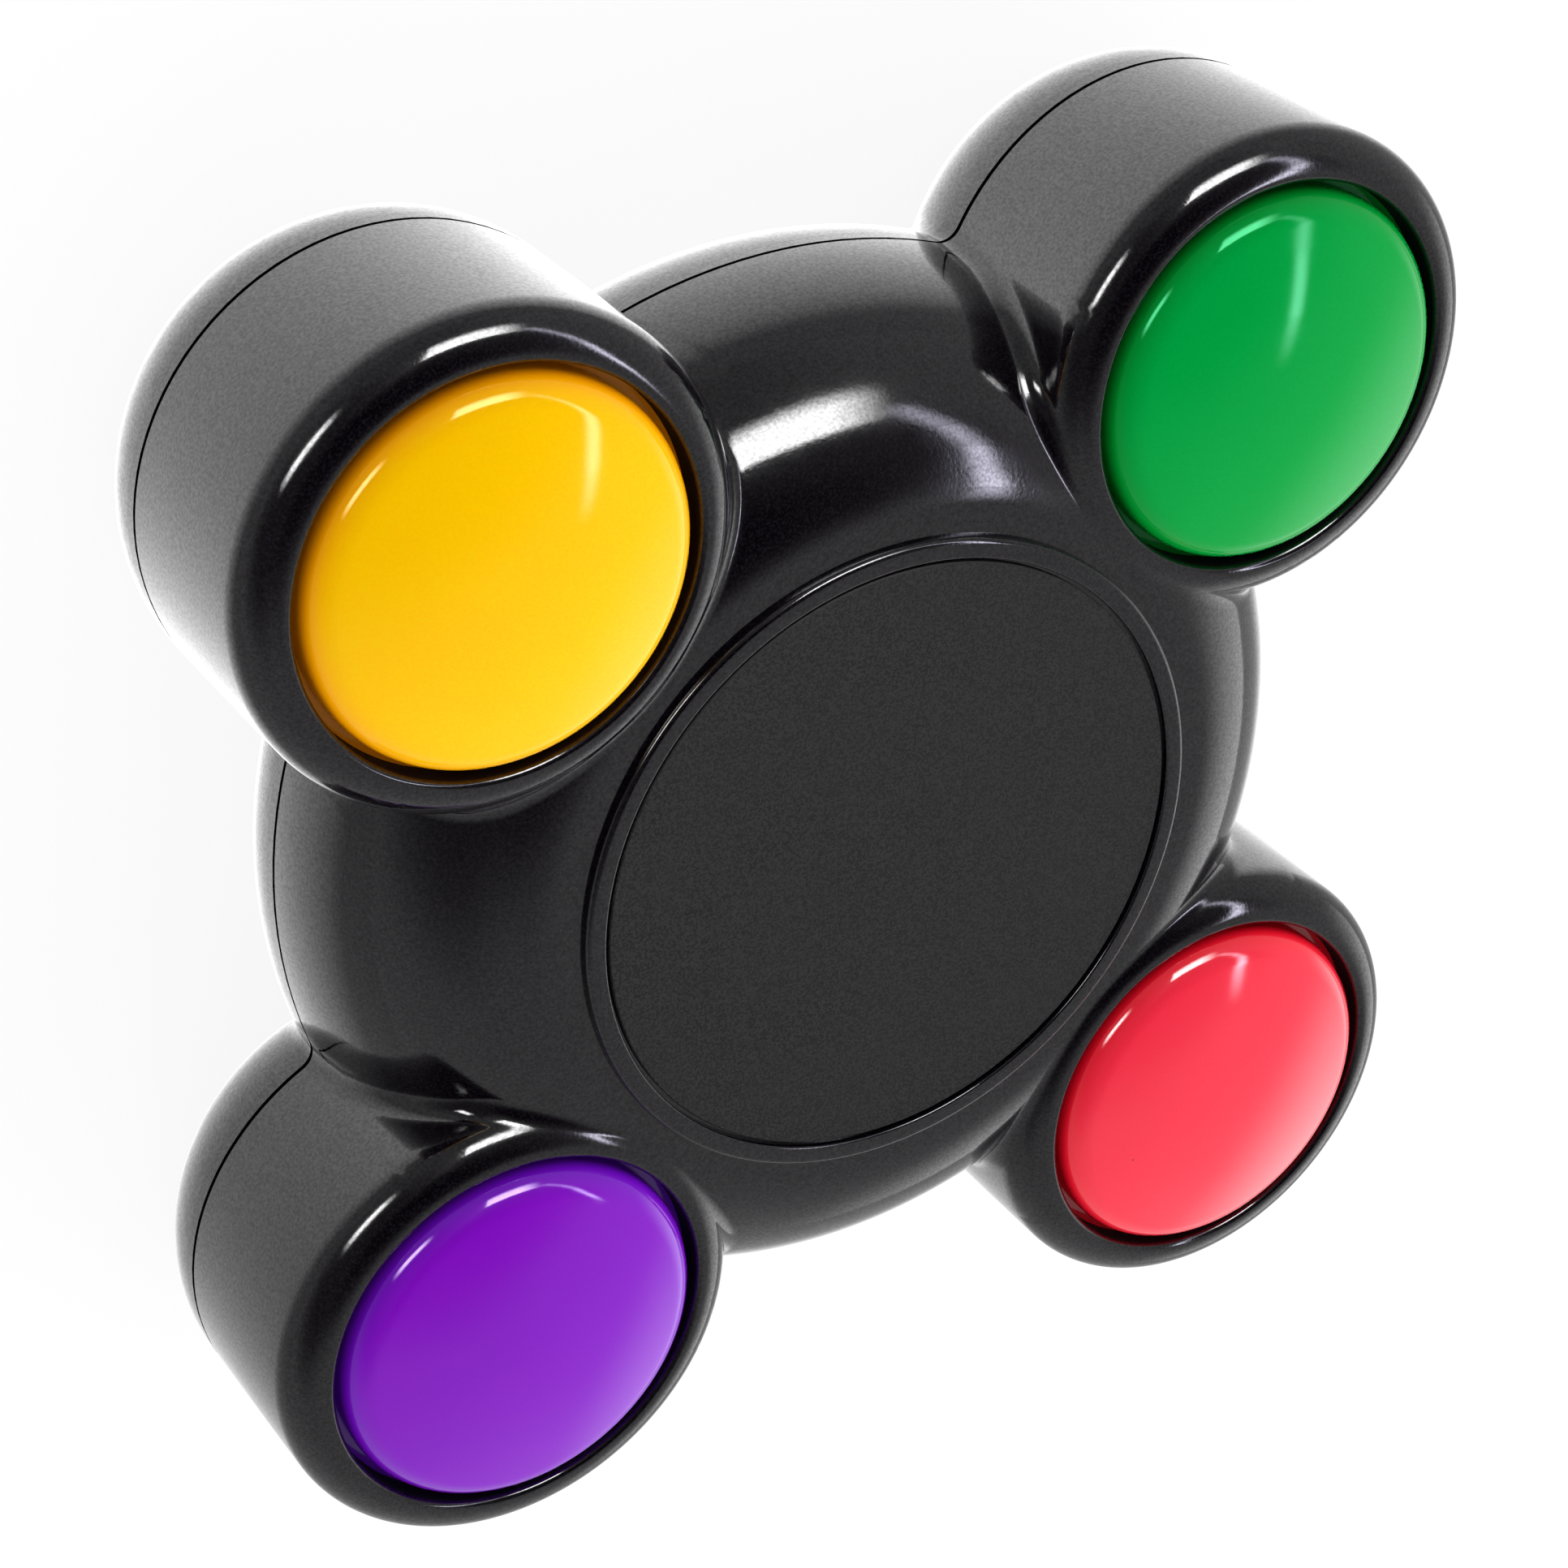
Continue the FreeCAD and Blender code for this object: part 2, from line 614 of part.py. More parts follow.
def cap():
    """Domed cap: rounded shoulder, wall through the rim, wider skirt below and a middle post."""
    skirt_in = CAP_SKIRT_R - CAP_SKIRT_WALL
    inner_dome = CAP_DOME_R - CAP_WALL
    wall_in = CAP_R - CAP_WALL
    inner_angle = math.degrees(math.asin(wall_in / inner_dome))
    inner_apex_z = DOME_CENTRE_Z + inner_dome
    outside = 90 - DOME_EDGE_ANGLE
    shell = turned((0, inner_apex_z),
                   round_step(0, DOME_CENTRE_Z, inner_dome, 90, 90 - inner_angle),
                   (wall_in, SKIRT_TOP_Z - 0.3), (skirt_in, SKIRT_TOP_Z - 1.9), (skirt_in, SKIRT_FOOT_Z),
                   (CAP_SKIRT_R, SKIRT_FOOT_Z), (CAP_SKIRT_R, SKIRT_TOP_Z), (CAP_R, SKIRT_TOP_Z),
                   (CAP_R, SHOULDER_Z), round_step(DOME_EDGE_R, SHOULDER_Z, CAP_SHOULDER, 0, outside),
                   round_step(0, DOME_CENTRE_Z, CAP_DOME_R, outside, 90))
    post = rod(CAP_POST_R, POST_FOOT_Z, inner_apex_z + 0.5)
    rib_half = CAP_RIB_T / 2
    rib_reach = CAP_RIB_L / 2
    rib_low = POST_FOOT_Z + 3.2
    rib_high = inner_apex_z + 0.3
    ribs = [block(-rib_reach, rib_reach, -rib_half, rib_half, rib_low, rib_high),
            block(-rib_half, rib_half, -rib_reach, rib_reach, rib_low, rib_high)]
    lamp_room = rod(LAMP_R + 1.0, SKIRT_FOOT_Z, BOARD_TOP_Z + LAMP_H + CAP_TRAVEL + 0.3, LAMP_OFFSET)
    return shell.fuse([post] + ribs).removeSplitter().cut(lamp_room)


def cap_spring():
    top = DOME_CENTRE_Z + math.sqrt((CAP_DOME_R - CAP_WALL) ** 2 - (SPRING_R + SPRING_WIRE_R) ** 2)
    return coil(SPRING_R, SPRING_WIRE_R, SPRING_TURNS, BOARD_TOP_Z + SPRING_WIRE_R + 0.05,
                top - SPRING_WIRE_R - 0.05)


def touch_switch():
    body = slab(0, 0, SWITCH_SIDE, SWITCH_SIDE, BOARD_TOP_Z, BOARD_TOP_Z + SWITCH_H, 0.5)
    cover = slab(0, 0, SWITCH_SIDE - 0.4, SWITCH_SIDE - 0.4, BOARD_TOP_Z + SWITCH_H - 0.1,
                 BOARD_TOP_Z + SWITCH_H + 0.2, 0.5)
    bore = rod(PLUNGER_R + 0.1, BOARD_TOP_Z + SWITCH_H - SWITCH_BORE_H, BOARD_TOP_Z + SWITCH_H + PAST)
    return body.fuse(cover).removeSplitter().cut(bore)


def switch_plunger():
    foot = BOARD_TOP_Z + SWITCH_H - SWITCH_BORE_H + PLUNGER_TRAVEL + 0.05
    top = BOARD_TOP_Z + PLUNGER_H
    edge = 0.3
    return turned((0, foot), (PLUNGER_R, foot), (PLUNGER_R, top - edge),
                  round_step(PLUNGER_R - edge, top - edge, edge, 0, 90), (0, top))


def lamp():
    """Round lamp standing on the board, with its rim at the foot."""
    top = BOARD_TOP_Z + LAMP_H
    body = turned((0, BOARD_TOP_Z), (LAMP_R + 0.4, BOARD_TOP_Z), (LAMP_R + 0.4, BOARD_TOP_Z + 1.0),
                  (LAMP_R, BOARD_TOP_Z + 1.0), (LAMP_R, top - LAMP_R),
                  round_step(0, top - LAMP_R, LAMP_R, 0, 90))
    return moved(body, LAMP_OFFSET, 0)


# Board and what is on it

def main_board():
    lobe = rod(LOBE_R, BOARD_Z, BOARD_TOP_Z)
    neck = block(0, POD_PITCH, -NECK_W / 2, NECK_W / 2, BOARD_Z, BOARD_TOP_Z)
    notch = rod(FRONT_POST_R + 0.4, BOARD_Z - PAST, BOARD_TOP_Z + PAST, HOUSING_SCREW_X)
    board = rod(BOARD_R, BOARD_Z, BOARD_TOP_Z)
    board = board.fuse([at_pod(lobe, side) for side in PODS.values()]
                       + [turned_to_pod(neck, side) for side in PODS.values()]).removeSplitter()
    hole_r = BOARD_SCREW_R + HOLE_PLAY
    holes = [rod(hole_r, BOARD_Z - PAST, BOARD_TOP_Z + PAST, x, y) for x, y in board_screw_places()]
    return board.cut(holes + [turned_to_pod(notch, side) for side in PODS.values()])


def game_chip():
    """Chip under a low round drop of resin."""
    ball = (CHIP_R ** 2 + CHIP_H ** 2) / (2 * CHIP_H)
    edge_angle = math.degrees(math.acos(CHIP_R / ball))
    return turned((0, BOARD_TOP_Z), (CHIP_R, BOARD_TOP_Z),
                  round_step(0, BOARD_TOP_Z + CHIP_H - ball, ball, edge_angle, 90))


def resistors():
    """Surface resistors in a row beside the chip, one solid each."""
    row = []
    for number in range(RESISTOR_COUNT):
        x = RESISTOR_X + RESISTOR_PITCH * number
        row.append(slab(x, RESISTOR_Y, RESISTOR_W, RESISTOR_L, BOARD_TOP_Z, BOARD_TOP_Z + RESISTOR_H, 0.15))
    return Part.makeCompound(row)


def driver_transistors():
    """Lamp drivers, one beside each neck of the board."""
    parts = []
    for side in PODS.values():
        driver = slab(DRIVER_OFFSET, 0, DRIVER_L, DRIVER_W, BOARD_TOP_Z, BOARD_TOP_Z + DRIVER_H, 0.2)
        parts.append(turned_to_pod(driver, side))
    return Part.makeCompound(parts)


def capacitor():
    """Upright can with a crimp near its foot and a rounded top."""
    edge = 0.4
    crimp = 0.25
    top = BOARD_TOP_Z + CAN_H
    can = turned((0, BOARD_TOP_Z), (CAN_R, BOARD_TOP_Z), (CAN_R, BOARD_TOP_Z + 0.9),
                 (CAN_R - crimp, BOARD_TOP_Z + 1.2), (CAN_R, BOARD_TOP_Z + 1.5), (CAN_R, top - edge),
                 round_step(CAN_R - edge, top - edge, edge, 0, 90), (0, top))
    return moved(can, CAN_X, CAN_Y)


def board_screws():
    screws = []
    for x, y in board_screw_places():
        screws.append(screw(BOARD_SCREW_HEAD_R, BOARD_SCREW_HEAD_H, BOARD_SCREW_R, BOARD_Z,
                            BOARD_Z + BOARD_SCREW_L, x, y))
    return Part.makeCompound(screws)


def housing_screws():
    one = screw(HOUSING_SCREW_HEAD_R, HOUSING_SCREW_HEAD_H, HOUSING_SCREW_R, HOUSING_SCREW_SEAT_Z,
                HOUSING_SCREW_TIP_Z, HOUSING_SCREW_X, 0)
    return Part.makeCompound([turned_to_pod(one, side) for side in PODS.values()])


# Loudspeaker

def speaker_frame():
    """Pressed basket: flat rim on the ledge, sloping wall and a flat back with a hole."""
    sheet = 0.6
    back_r = 9.4
    hole_r = 3.4
    basket = turned((SPEAKER_R, SPEAKER_SEAT_Z), (SPEAKER_R, SPEAKER_SEAT_Z + sheet),
                    (SPEAKER_R - 2.0, SPEAKER_SEAT_Z + sheet), (back_r, BASKET_BACK_Z),
                    (hole_r, BASKET_BACK_Z), (hole_r, BASKET_BACK_Z - sheet),
                    (back_r - 0.4, BASKET_BACK_Z - sheet),
                    (CONE_EDGE_R, SPEAKER_SEAT_Z))
    return moved(basket, 0, SPEAKER_Y)


def speaker_cone():
    """Thin cone with a domed cap in its middle and a flat edge."""
    sheet = 0.25
    low = SPEAKER_SEAT_Z - 0.55
    cone = turned((0, low + 1.5), round_step(0, low - 3.0, 4.5, 90, 48), (4.2, low + 1.6),
                  (CONE_EDGE_R - 1.6, low), (CONE_EDGE_R - 0.15, low), (CONE_EDGE_R - 0.15, low + sheet),
                  (CONE_EDGE_R - 1.5, low + sheet), (4.3, low + 1.6 + sheet), (2.6, low + sheet + 1.0),
                  (0, low + 1.5 + sheet))
    return moved(cone, 0, SPEAKER_Y)


def speaker_magnet():
    edge = 0.5
    top = SPEAKER_SEAT_Z + SPEAKER_H
    radius = 7.0
    magnet = turned((0, BASKET_BACK_Z), (radius, BASKET_BACK_Z), (radius, top - edge), (radius - edge, top),
                    (0, top))
    return moved(magnet, 0, SPEAKER_Y)


# Power switch

def power_knob():
    """Thumb piece in the dish, its stem through the slot and a plate inside."""
    low = 0.3
    groove_half = 0.25
    groove_pitch = 1.2
    thumb = slab(0, 0, KNOB_L, KNOB_W, low, POWER_DISH_DEPTH - 0.1, 0.4)
    for x in (-groove_pitch, 0.0, groove_pitch):
        thumb = thumb.cut(block(x - groove_half, x + groove_half, -KNOB_W, KNOB_W, low - PAST, low + 0.35))
    stem = block(-KNOB_STEM_L / 2, KNOB_STEM_L / 2, -KNOB_STEM_W / 2, KNOB_STEM_W / 2,
                 POWER_DISH_DEPTH - BITE, KNOB_PLATE_Z + BITE)
    plate = slab(0, 0, 2 * KNOB_STEM_L + 1.6, 3 * KNOB_STEM_W, KNOB_PLATE_Z, KNOB_PLATE_Z + KNOB_PLATE_T, 0.4)
    room = LEVER_HALF + 0.1
    pocket = block(-room, room, -room, room, KNOB_PLATE_Z + BITE, KNOB_PLATE_Z + KNOB_PLATE_T + PAST)
    return moved(thumb.fuse([stem, plate]).removeSplitter().cut(pocket), KNOB_REST_X, POWER_Y)


def power_lever():
    """Square lever of the switch, standing in the knob's pocket."""
    lever = block(-LEVER_HALF, LEVER_HALF, -LEVER_HALF, LEVER_HALF, KNOB_PLATE_Z + BITE, POWER_BODY_Z + 1.0)
    return moved(lever, KNOB_REST_X, POWER_Y)


def power_switch_body():
    """Switch with a sheet frame, two screw holes and three pins."""
    top = POWER_BODY_Z + POWER_BODY_H
    body = slab(0, POWER_Y, POWER_BODY_L, POWER_BODY_W, POWER_BODY_Z, top, 0.4)
    frame = slab(0, POWER_Y, 2 * POWER_EAR_X + 3.4, 3.4, POWER_BODY_Z, POWER_BODY_Z + POWER_SHEET, 1.2)
    pins = [block(x - 0.3, x + 0.3, POWER_Y - 0.2, POWER_Y + 0.2, top - 0.1, top + 2.0)
            for x in (-2.5, 0, 2.5)]
    half_x = LEVER_HALF + KNOB_TRAVEL / 2 + 0.3
    half_y = LEVER_HALF + 0.2
    slot = block(-half_x, half_x, POWER_Y - half_y, POWER_Y + half_y, POWER_BODY_Z - PAST, POWER_BODY_Z + 1.3)
    holes = [rod(POWER_SCREW_R + 0.2, POWER_BODY_Z - PAST, POWER_BODY_Z + PAST, side * POWER_EAR_X, POWER_Y)
             for side in (-1, 1)]
    return body.fuse([frame] + pins).removeSplitter().cut([slot] + holes)


def switch_screws():
    """Two small screws that hold the power switch, heads up."""
    parts = []
    for side in (-1, 1):
        one = screw(2 * POWER_SCREW_R, 0.9, POWER_SCREW_R, 0, 3.0, 0, 0)
        one.rotate(Vector(0, 0, 0), Vector(1, 0, 0), 180)
        parts.append(moved(one, side * POWER_EAR_X, POWER_Y, POWER_BODY_Z + POWER_SHEET))
    return Part.makeCompound(parts)


# Batteries, contacts and door

def cell(nub_end):
    """Round cell along X with its nub towards nub_end, -1 or +1."""
    length = CELL_LENGTH - CELL_NUB_H
    edge = 0.5
    body = turned((0, 0), (CELL_R - edge, 0), round_step(CELL_R - edge, edge, edge, -90, 0),
                  (CELL_R, length - edge), round_step(CELL_R - edge, length - edge, edge, 0, 90),
                  (CELL_NUB_R, length), (CELL_NUB_R, length + CELL_NUB_H - 0.2),
                  (CELL_NUB_R - 0.2, length + CELL_NUB_H), (0, length + CELL_NUB_H))
    body.rotate(Vector(0, 0, 0), Vector(0, 1, 0), 90 * nub_end)
    start_x = nub_end * (CELL_SHIFT_X - CELL_LENGTH / 2)
    return moved(body, start_x, BAY_MID_Y - nub_end * CELL_OFFSET_Y, CELL_Z)


def contact_sheet(end, low_y, high_y, low_z, high_z):
    """Flat piece of contact sheet against the bay's end wall; end is -1 or +1."""
    low_x, high_x = sorted((end * CONTACT_X, end * (CONTACT_X - CONTACT_T)))
    return block(low_x, high_x, low_y, high_y, low_z, high_z)


def contact_plate(end, low_y, high_y):
    return contact_sheet(end, low_y - CONTACT_HALF, high_y + CONTACT_HALF, CELL_Z - CONTACT_HALF,
                         CELL_Z + CONTACT_HALF)


def lug(end, y):
    """Tag that passes through the bay's roof for a lead."""
    return contact_sheet(end, y - LUG_W / 2, y + LUG_W / 2, CELL_Z + CONTACT_HALF - BITE,
                         BAY_ROOF_Z + BAY_WALL + 1.1)


def dimple(end, y):
    """Low round boss pressed towards the cell's nub."""
    boss = Part.makeCone(2.0, 1.4, DIMPLE_H, Vector(0, 0, 0), UP)
    boss.rotate(Vector(0, 0, 0), Vector(0, 1, 0), -90 * end)
    return moved(boss, end * (CONTACT_X - CONTACT_T), y, CELL_Z)


def contact_spring(end, y):
    """Short spring between a plate and a cell's flat end, joined to the plate by its last turn."""
    plate_x = CONTACT_X - CONTACT_T
    length = plate_x - (CELL_LENGTH / 2 - CELL_SHIFT_X)
    sunk = 0.1
    spring = coil(CONTACT_SPRING_R, CONTACT_WIRE_R, 2, -sunk, length - CONTACT_WIRE_R - sunk)
    spring.rotate(Vector(0, 0, 0), Vector(0, 1, 0), -90 * end)
    return moved(spring, end * plate_x, y, CELL_Z)


def contact_positive():
    plate = contact_plate(-1, POSITIVE_Y, POSITIVE_Y)
    return plate.fuse([dimple(-1, POSITIVE_Y), lug(-1, POSITIVE_Y)]).removeSplitter()


def contact_negative():
    plate = contact_plate(-1, NEGATIVE_Y, NEGATIVE_Y)
    return plate.fuse([contact_spring(-1, NEGATIVE_Y), lug(-1, NEGATIVE_Y)]).removeSplitter()


def contact_bridge():
    plate = contact_plate(1, NEGATIVE_Y, POSITIVE_Y)
    return plate.fuse([contact_spring(1, POSITIVE_Y), dimple(1, NEGATIVE_Y)]).removeSplitter()


def battery_door():
    """Flat door with finger grooves, a tab at one end and a screw hole in the ear."""
    hook_x = DOOR_END_X + DOOR_LIP - 0.1
    tab_y0 = BAY_MID_Y - TAB_W / 2
    tab_y1 = BAY_MID_Y + TAB_W / 2
    hook = block(DOOR_END_X, hook_x, tab_y0, tab_y1, DOOR_TOP_Z - BITE, TAB_Z + TAB_T)
    tab = block(DOOR_END_X - TAB_REACH, hook_x, tab_y0, tab_y1, TAB_Z, TAB_Z + TAB_T)
    plate = door_plate(0, DOOR_SINK, DOOR_TOP_Z).fuse([hook, tab]).removeSplitter()
    low = DOOR_SINK - PAST
    head_room = rod(DOOR_SCREW_HEAD_R + 0.2, low, DOOR_SCREW_SEAT_Z, DOOR_SCREW_X, BAY_MID_Y)
    shank_room = rod(DOOR_SCREW_R + 0.2, low, DOOR_TOP_Z + PAST, DOOR_SCREW_X, BAY_MID_Y)
    grooves = [slab(x, BAY_MID_Y, 1.0, 9.0, low, DOOR_SINK + 0.45, 0.45) for x in (14.0, 16.5, 19.0)]
    return plate.cut([head_room, shank_room] + grooves)


def door_screw():
    seat_z = DOOR_SCREW_SEAT_Z - 0.02
    return screw(DOOR_SCREW_HEAD_R, DOOR_SCREW_HEAD_H, DOOR_SCREW_R, seat_z, DOOR_SCREW_SEAT_Z + DOOR_SCREW_L,
                 DOOR_SCREW_X, BAY_MID_Y)


# Leads inside

def battery_wires():
    """Two leads from the contact lugs to the underside of the board."""
    start_z = BAY_ROOF_Z + BAY_WALL + 0.7
    routes = []
    for start_y, end_y in ((POSITIVE_Y, -5.0), (NEGATIVE_Y, -9.0)):
        way = end_y - start_y
        routes.append([(-CONTACT_X - 0.02, start_y, start_z), (-CONTACT_X - 2.6, start_y, start_z),
                       (-CONTACT_X - 4.6, start_y + 0.4 * way, start_z - 2.6),
                       (-CONTACT_X - 7.2, start_y + 0.8 * way, start_z - 3.4),
                       (-CONTACT_X - 8.4, end_y, start_z - 1.0), (-CONTACT_X - 8.4, end_y, BOARD_Z)])
    return Part.makeCompound([bent_wire(route, LEAD_R) for route in routes])


def speaker_wires():
    """Two leads from the loudspeaker's basket to the underside of the board."""
    z = BASKET_BACK_Z
    routes = []
    for spread in (-1.2, 1.2):
        y = SPEAKER_Y + spread
        routes.append([(8.2, y, z), (8.2, y, z + 2.4), (10.4, y - 1.0, z + 4.6), (13.2, y - 2.6, z + 5.4),
                       (14.2, y - 4.0, z + 7.4), (14.2, y - 4.0, BOARD_Z)])
    return Part.makeCompound([bent_wire(route, LEAD_R) for route in routes])


# Files, one for each sub-part

SINGLE = (front_housing, rear_housing, centre_label, main_board, game_chip, resistors, driver_transistors,
          capacitor, board_screws, housing_screws, speaker_frame, speaker_cone, speaker_magnet, power_knob,
          power_lever, power_switch_body, switch_screws, contact_positive, contact_negative, contact_bridge,
          battery_door, door_screw, battery_wires, speaker_wires)


def sub_parts():
    parts = {maker.__name__: maker() for maker in SINGLE}
    in_each_pod = {"button_cap": cap(), "cap_spring": cap_spring(), "touch_switch": touch_switch(),
                   "switch_plunger": switch_plunger(), "lamp": lamp()}
    for colour, side in PODS.items():
        for name, shape in in_each_pod.items():
            parts[name + "_" + colour] = at_pod(shape, side)
    parts["battery_one"] = cell(-1)
    parts["battery_two"] = cell(1)
    return parts


def main():
    os.makedirs("parts", exist_ok=True)
    for name, shape in sub_parts().items():
        solids = len(shape.Solids)
        print(f"{name:24s} solids {solids} valid {shape.isValid()} volume {shape.Volume:9.1f}")
        shape.exportStep(os.path.join("parts", name + ".step"))


main()
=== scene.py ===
import math
import bpy
from mathutils import Matrix, Vector


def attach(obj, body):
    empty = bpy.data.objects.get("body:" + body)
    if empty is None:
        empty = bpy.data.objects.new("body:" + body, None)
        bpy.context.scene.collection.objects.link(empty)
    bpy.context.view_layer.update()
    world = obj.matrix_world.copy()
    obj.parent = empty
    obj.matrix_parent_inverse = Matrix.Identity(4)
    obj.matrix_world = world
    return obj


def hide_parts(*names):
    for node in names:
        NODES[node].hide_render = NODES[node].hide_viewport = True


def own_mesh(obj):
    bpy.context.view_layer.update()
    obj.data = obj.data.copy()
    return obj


# An electronic memory game: the CAD nodes get their finishes, and the front shell, the caps and
# the caps' springs are made anew on the same sizes.

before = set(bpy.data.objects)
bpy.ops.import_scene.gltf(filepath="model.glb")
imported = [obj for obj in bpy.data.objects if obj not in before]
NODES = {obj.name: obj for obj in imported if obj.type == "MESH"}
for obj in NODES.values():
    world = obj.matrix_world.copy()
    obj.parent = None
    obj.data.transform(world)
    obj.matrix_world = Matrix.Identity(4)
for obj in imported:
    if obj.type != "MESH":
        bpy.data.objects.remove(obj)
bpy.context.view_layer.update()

COLOURS = ("yellow", "green", "purple", "red")

# Sizes of the game in millimetres
MM = 0.001
PITCH = 44.5
POD_R = 18.5
DISC_R = 41.6
PARTING = 11.6
RIM = 29.3
RIM_ROUND = 3.1
LAND = 28.9
LAND_R = 27.2
RING_IN = 24.2
RING_OUT = 25.8
RING_TOP = 29.6
RING_EDGE = 0.45
RING_INNER_EDGE = 0.2
LABEL_SEAT = 29.0
VALLEY = 1.6
WALL = 2.2
HOLE_R = 15.0
MOUTH = 0.5
SEAT = 27.0
SEAM = 0.36
SEAM_DEPTH = 0.9
POD_TURNS = {"yellow": 135.0, "green": 45.0, "purple": 225.0, "red": 315.0}

# The angle below which faces are shaded smooth, and the distances in metres at which points are merged
SMOOTH_ANGLE = math.radians(35)
WELD = 1.5e-6
TINY_WELD = 1e-6

# Tools for modelling


def deselect():
    if bpy.context.object and bpy.context.object.mode != "OBJECT":
        bpy.ops.object.mode_set(mode="OBJECT")
    bpy.ops.object.select_all(action="DESELECT")


def only(piece):
    """Makes a piece the one that operators act on."""
    deselect()
    piece.select_set(True)
    bpy.context.view_layer.objects.active = piece


def apply_modifier(piece, kind, **values):
    only(piece)
    m = piece.modifiers.new(kind.lower(), kind)
    for key, value in values.items():
        setattr(m, key, value)
    bpy.ops.object.modifier_apply(modifier=m.name)


def turned(name, profile, steps, x=0.0, y=0.0):
    """A circle drawn up ring by ring through a profile of (radius, height) in mm from axis to axis."""
    rings = profile[1:-1]
    here_r, here_z = rings[0]
    deselect()
    place = (x * MM, y * MM, here_z * MM)
    bpy.ops.mesh.primitive_circle_add(vertices=steps, radius=here_r * MM, location=place)
    piece = bpy.context.object
    piece.name = name
    bpy.ops.object.transform_apply(location=True, rotation=False, scale=False)
    bpy.ops.object.mode_set(mode="EDIT")
    bpy.ops.mesh.select_all(action="SELECT")
    centre = (x * MM, y * MM, 0.0)
    for r, z in rings[1:]:
        bpy.ops.mesh.extrude_region_move(TRANSFORM_OT_translate={"value": (0, 0, (z - here_z) * MM)})
        if abs(r - here_r) > 1e-9:
            bpy.ops.transform.resize(value=(r / here_r, r / here_r, 1), center_override=centre)
        here_r, here_z = r, z
    close_ring((profile[-1][1] - here_z) * MM)
    bpy.ops.mesh.select_all(action="DESELECT")
    bpy.ops.object.mode_set(mode="OBJECT")
    for i in range(steps):
        piece.data.vertices[i].select = True
    bpy.ops.object.mode_set(mode="EDIT")
    close_ring((profile[0][1] - rings[0][1]) * MM)
    bpy.ops.mesh.select_all(action="SELECT")
    bpy.ops.mesh.remove_doubles(threshold=TINY_WELD)
    bpy.ops.mesh.normals_make_consistent(inside=False)
    bpy.ops.object.mode_set(mode="OBJECT")
    return piece


def close_ring(rise):
    """Draws the selected ring together in a point."""
    bpy.ops.mesh.extrude_region_move(TRANSFORM_OT_translate={"value": (0, 0, rise)})
    bpy.ops.mesh.merge(type="CENTER")


def arc(centre_r, centre_z, radius, first, last, steps):
    """Points of a profile along a circle; 0 degrees points outwards, 90 up."""
    points = []
    for i in range(steps + 1):
        a = math.radians(first + (last - first) * i / steps)
        points.append((centre_r + radius * math.cos(a), centre_z + radius * math.sin(a)))
    return points


# Camera
CAMERA_PLACE = (-0.13331, 0.15053, 0.23007)
CAMERA_AIM = (-0.00119, -0.00033, 0.01550)
CAMERA_ROLL = 130.904
CAMERA_LENS = 89.114


def place_camera():
    data = bpy.data.cameras.new("camera")
    data.lens = CAMERA_LENS
    data.sensor_width = 36.0
    data.clip_start = 0.01
    data.clip_end = 20.0
    camera = bpy.data.objects.new("camera", data)
    bpy.context.scene.collection.objects.link(camera)
    sight = Vector(CAMERA_AIM) - Vector(CAMERA_PLACE)
    turn = sight.to_track_quat("-Z", "Y").to_matrix().to_4x4()
    roll = Matrix.Rotation(math.radians(CAMERA_ROLL), 4, "Z")
    camera.matrix_world = Matrix.Translation(CAMERA_PLACE) @ turn @ roll
    bpy.context.scene.camera = camera


place_camera()

# Tools for nodes


def add(tree, kind, settings=None, **inputs):
    """A node; i0, i1 ... set its sockets by number, other names by name; a socket given is linked."""
    made = tree.nodes.new("ShaderNode" + kind)
    for key, value in (settings or {}).items():
        setattr(made, key, value)
    for key, value in inputs.items():
        numbered = key[0] == "i" and key[1:].isdigit()
        socket = made.inputs[int(key[1:])] if numbered else made.inputs[key.replace("_", " ")]
        if isinstance(value, bpy.types.NodeSocket):
            tree.links.new(value, socket)
        else:
            socket.default_value = value
    return made


def between(tree, value, from_low, from_high, low, high, smooth=True):
    """A value carried from one range to another."""
    kind = "SMOOTHSTEP" if smooth else "LINEAR"
    made = add(tree, "MapRange", {"interpolation_type": kind}, Value=value, From_Min=from_low,
               From_Max=from_high, To_Min=low, To_Max=high)
    return made.outputs["Result"]


def times(tree, first, second):
    return add(tree, "Math", {"operation": "MULTIPLY"}, i0=first, i1=second).outputs[0]


# Materials: small helpers


def finish(name, roughness, metallic=0.0, specular=0.5):
    """A new material; gives back the material, its tree and its shader."""
    m = bpy.data.materials.new(name)
    m.use_nodes = True
    shader = m.node_tree.nodes["Principled BSDF"]
    shader.inputs["Roughness"].default_value = roughness
    shader.inputs["Metallic"].default_value = metallic
    shader.inputs["Specular IOR Level"].default_value = specular
    return m, m.node_tree, shader


def spot(tree, centre=(0.0, 0.0, 0.0), stretch=(1.0, 1.0, 1.0)):
    """Places on the piece in metres, seen from a centre; stretch squeezes a pattern along an axis."""
    coordinates = add(tree, "TexCoord").outputs["Object"]
    made = add(tree, "Mapping", {"vector_type": "TEXTURE"}, Vector=coordinates, Location=centre,
               Scale=stretch)
    return made.outputs[0]


def grain(tree, size, detail=2.0, where=None):
    """Soft noise, from 0 to 1 round 0.5; size is that of its lumps in mm."""
    made = add(tree, "TexNoise", Vector=where or spot(tree), Scale=1.0 / (size * MM), Detail=detail)
    return made.outputs[0]


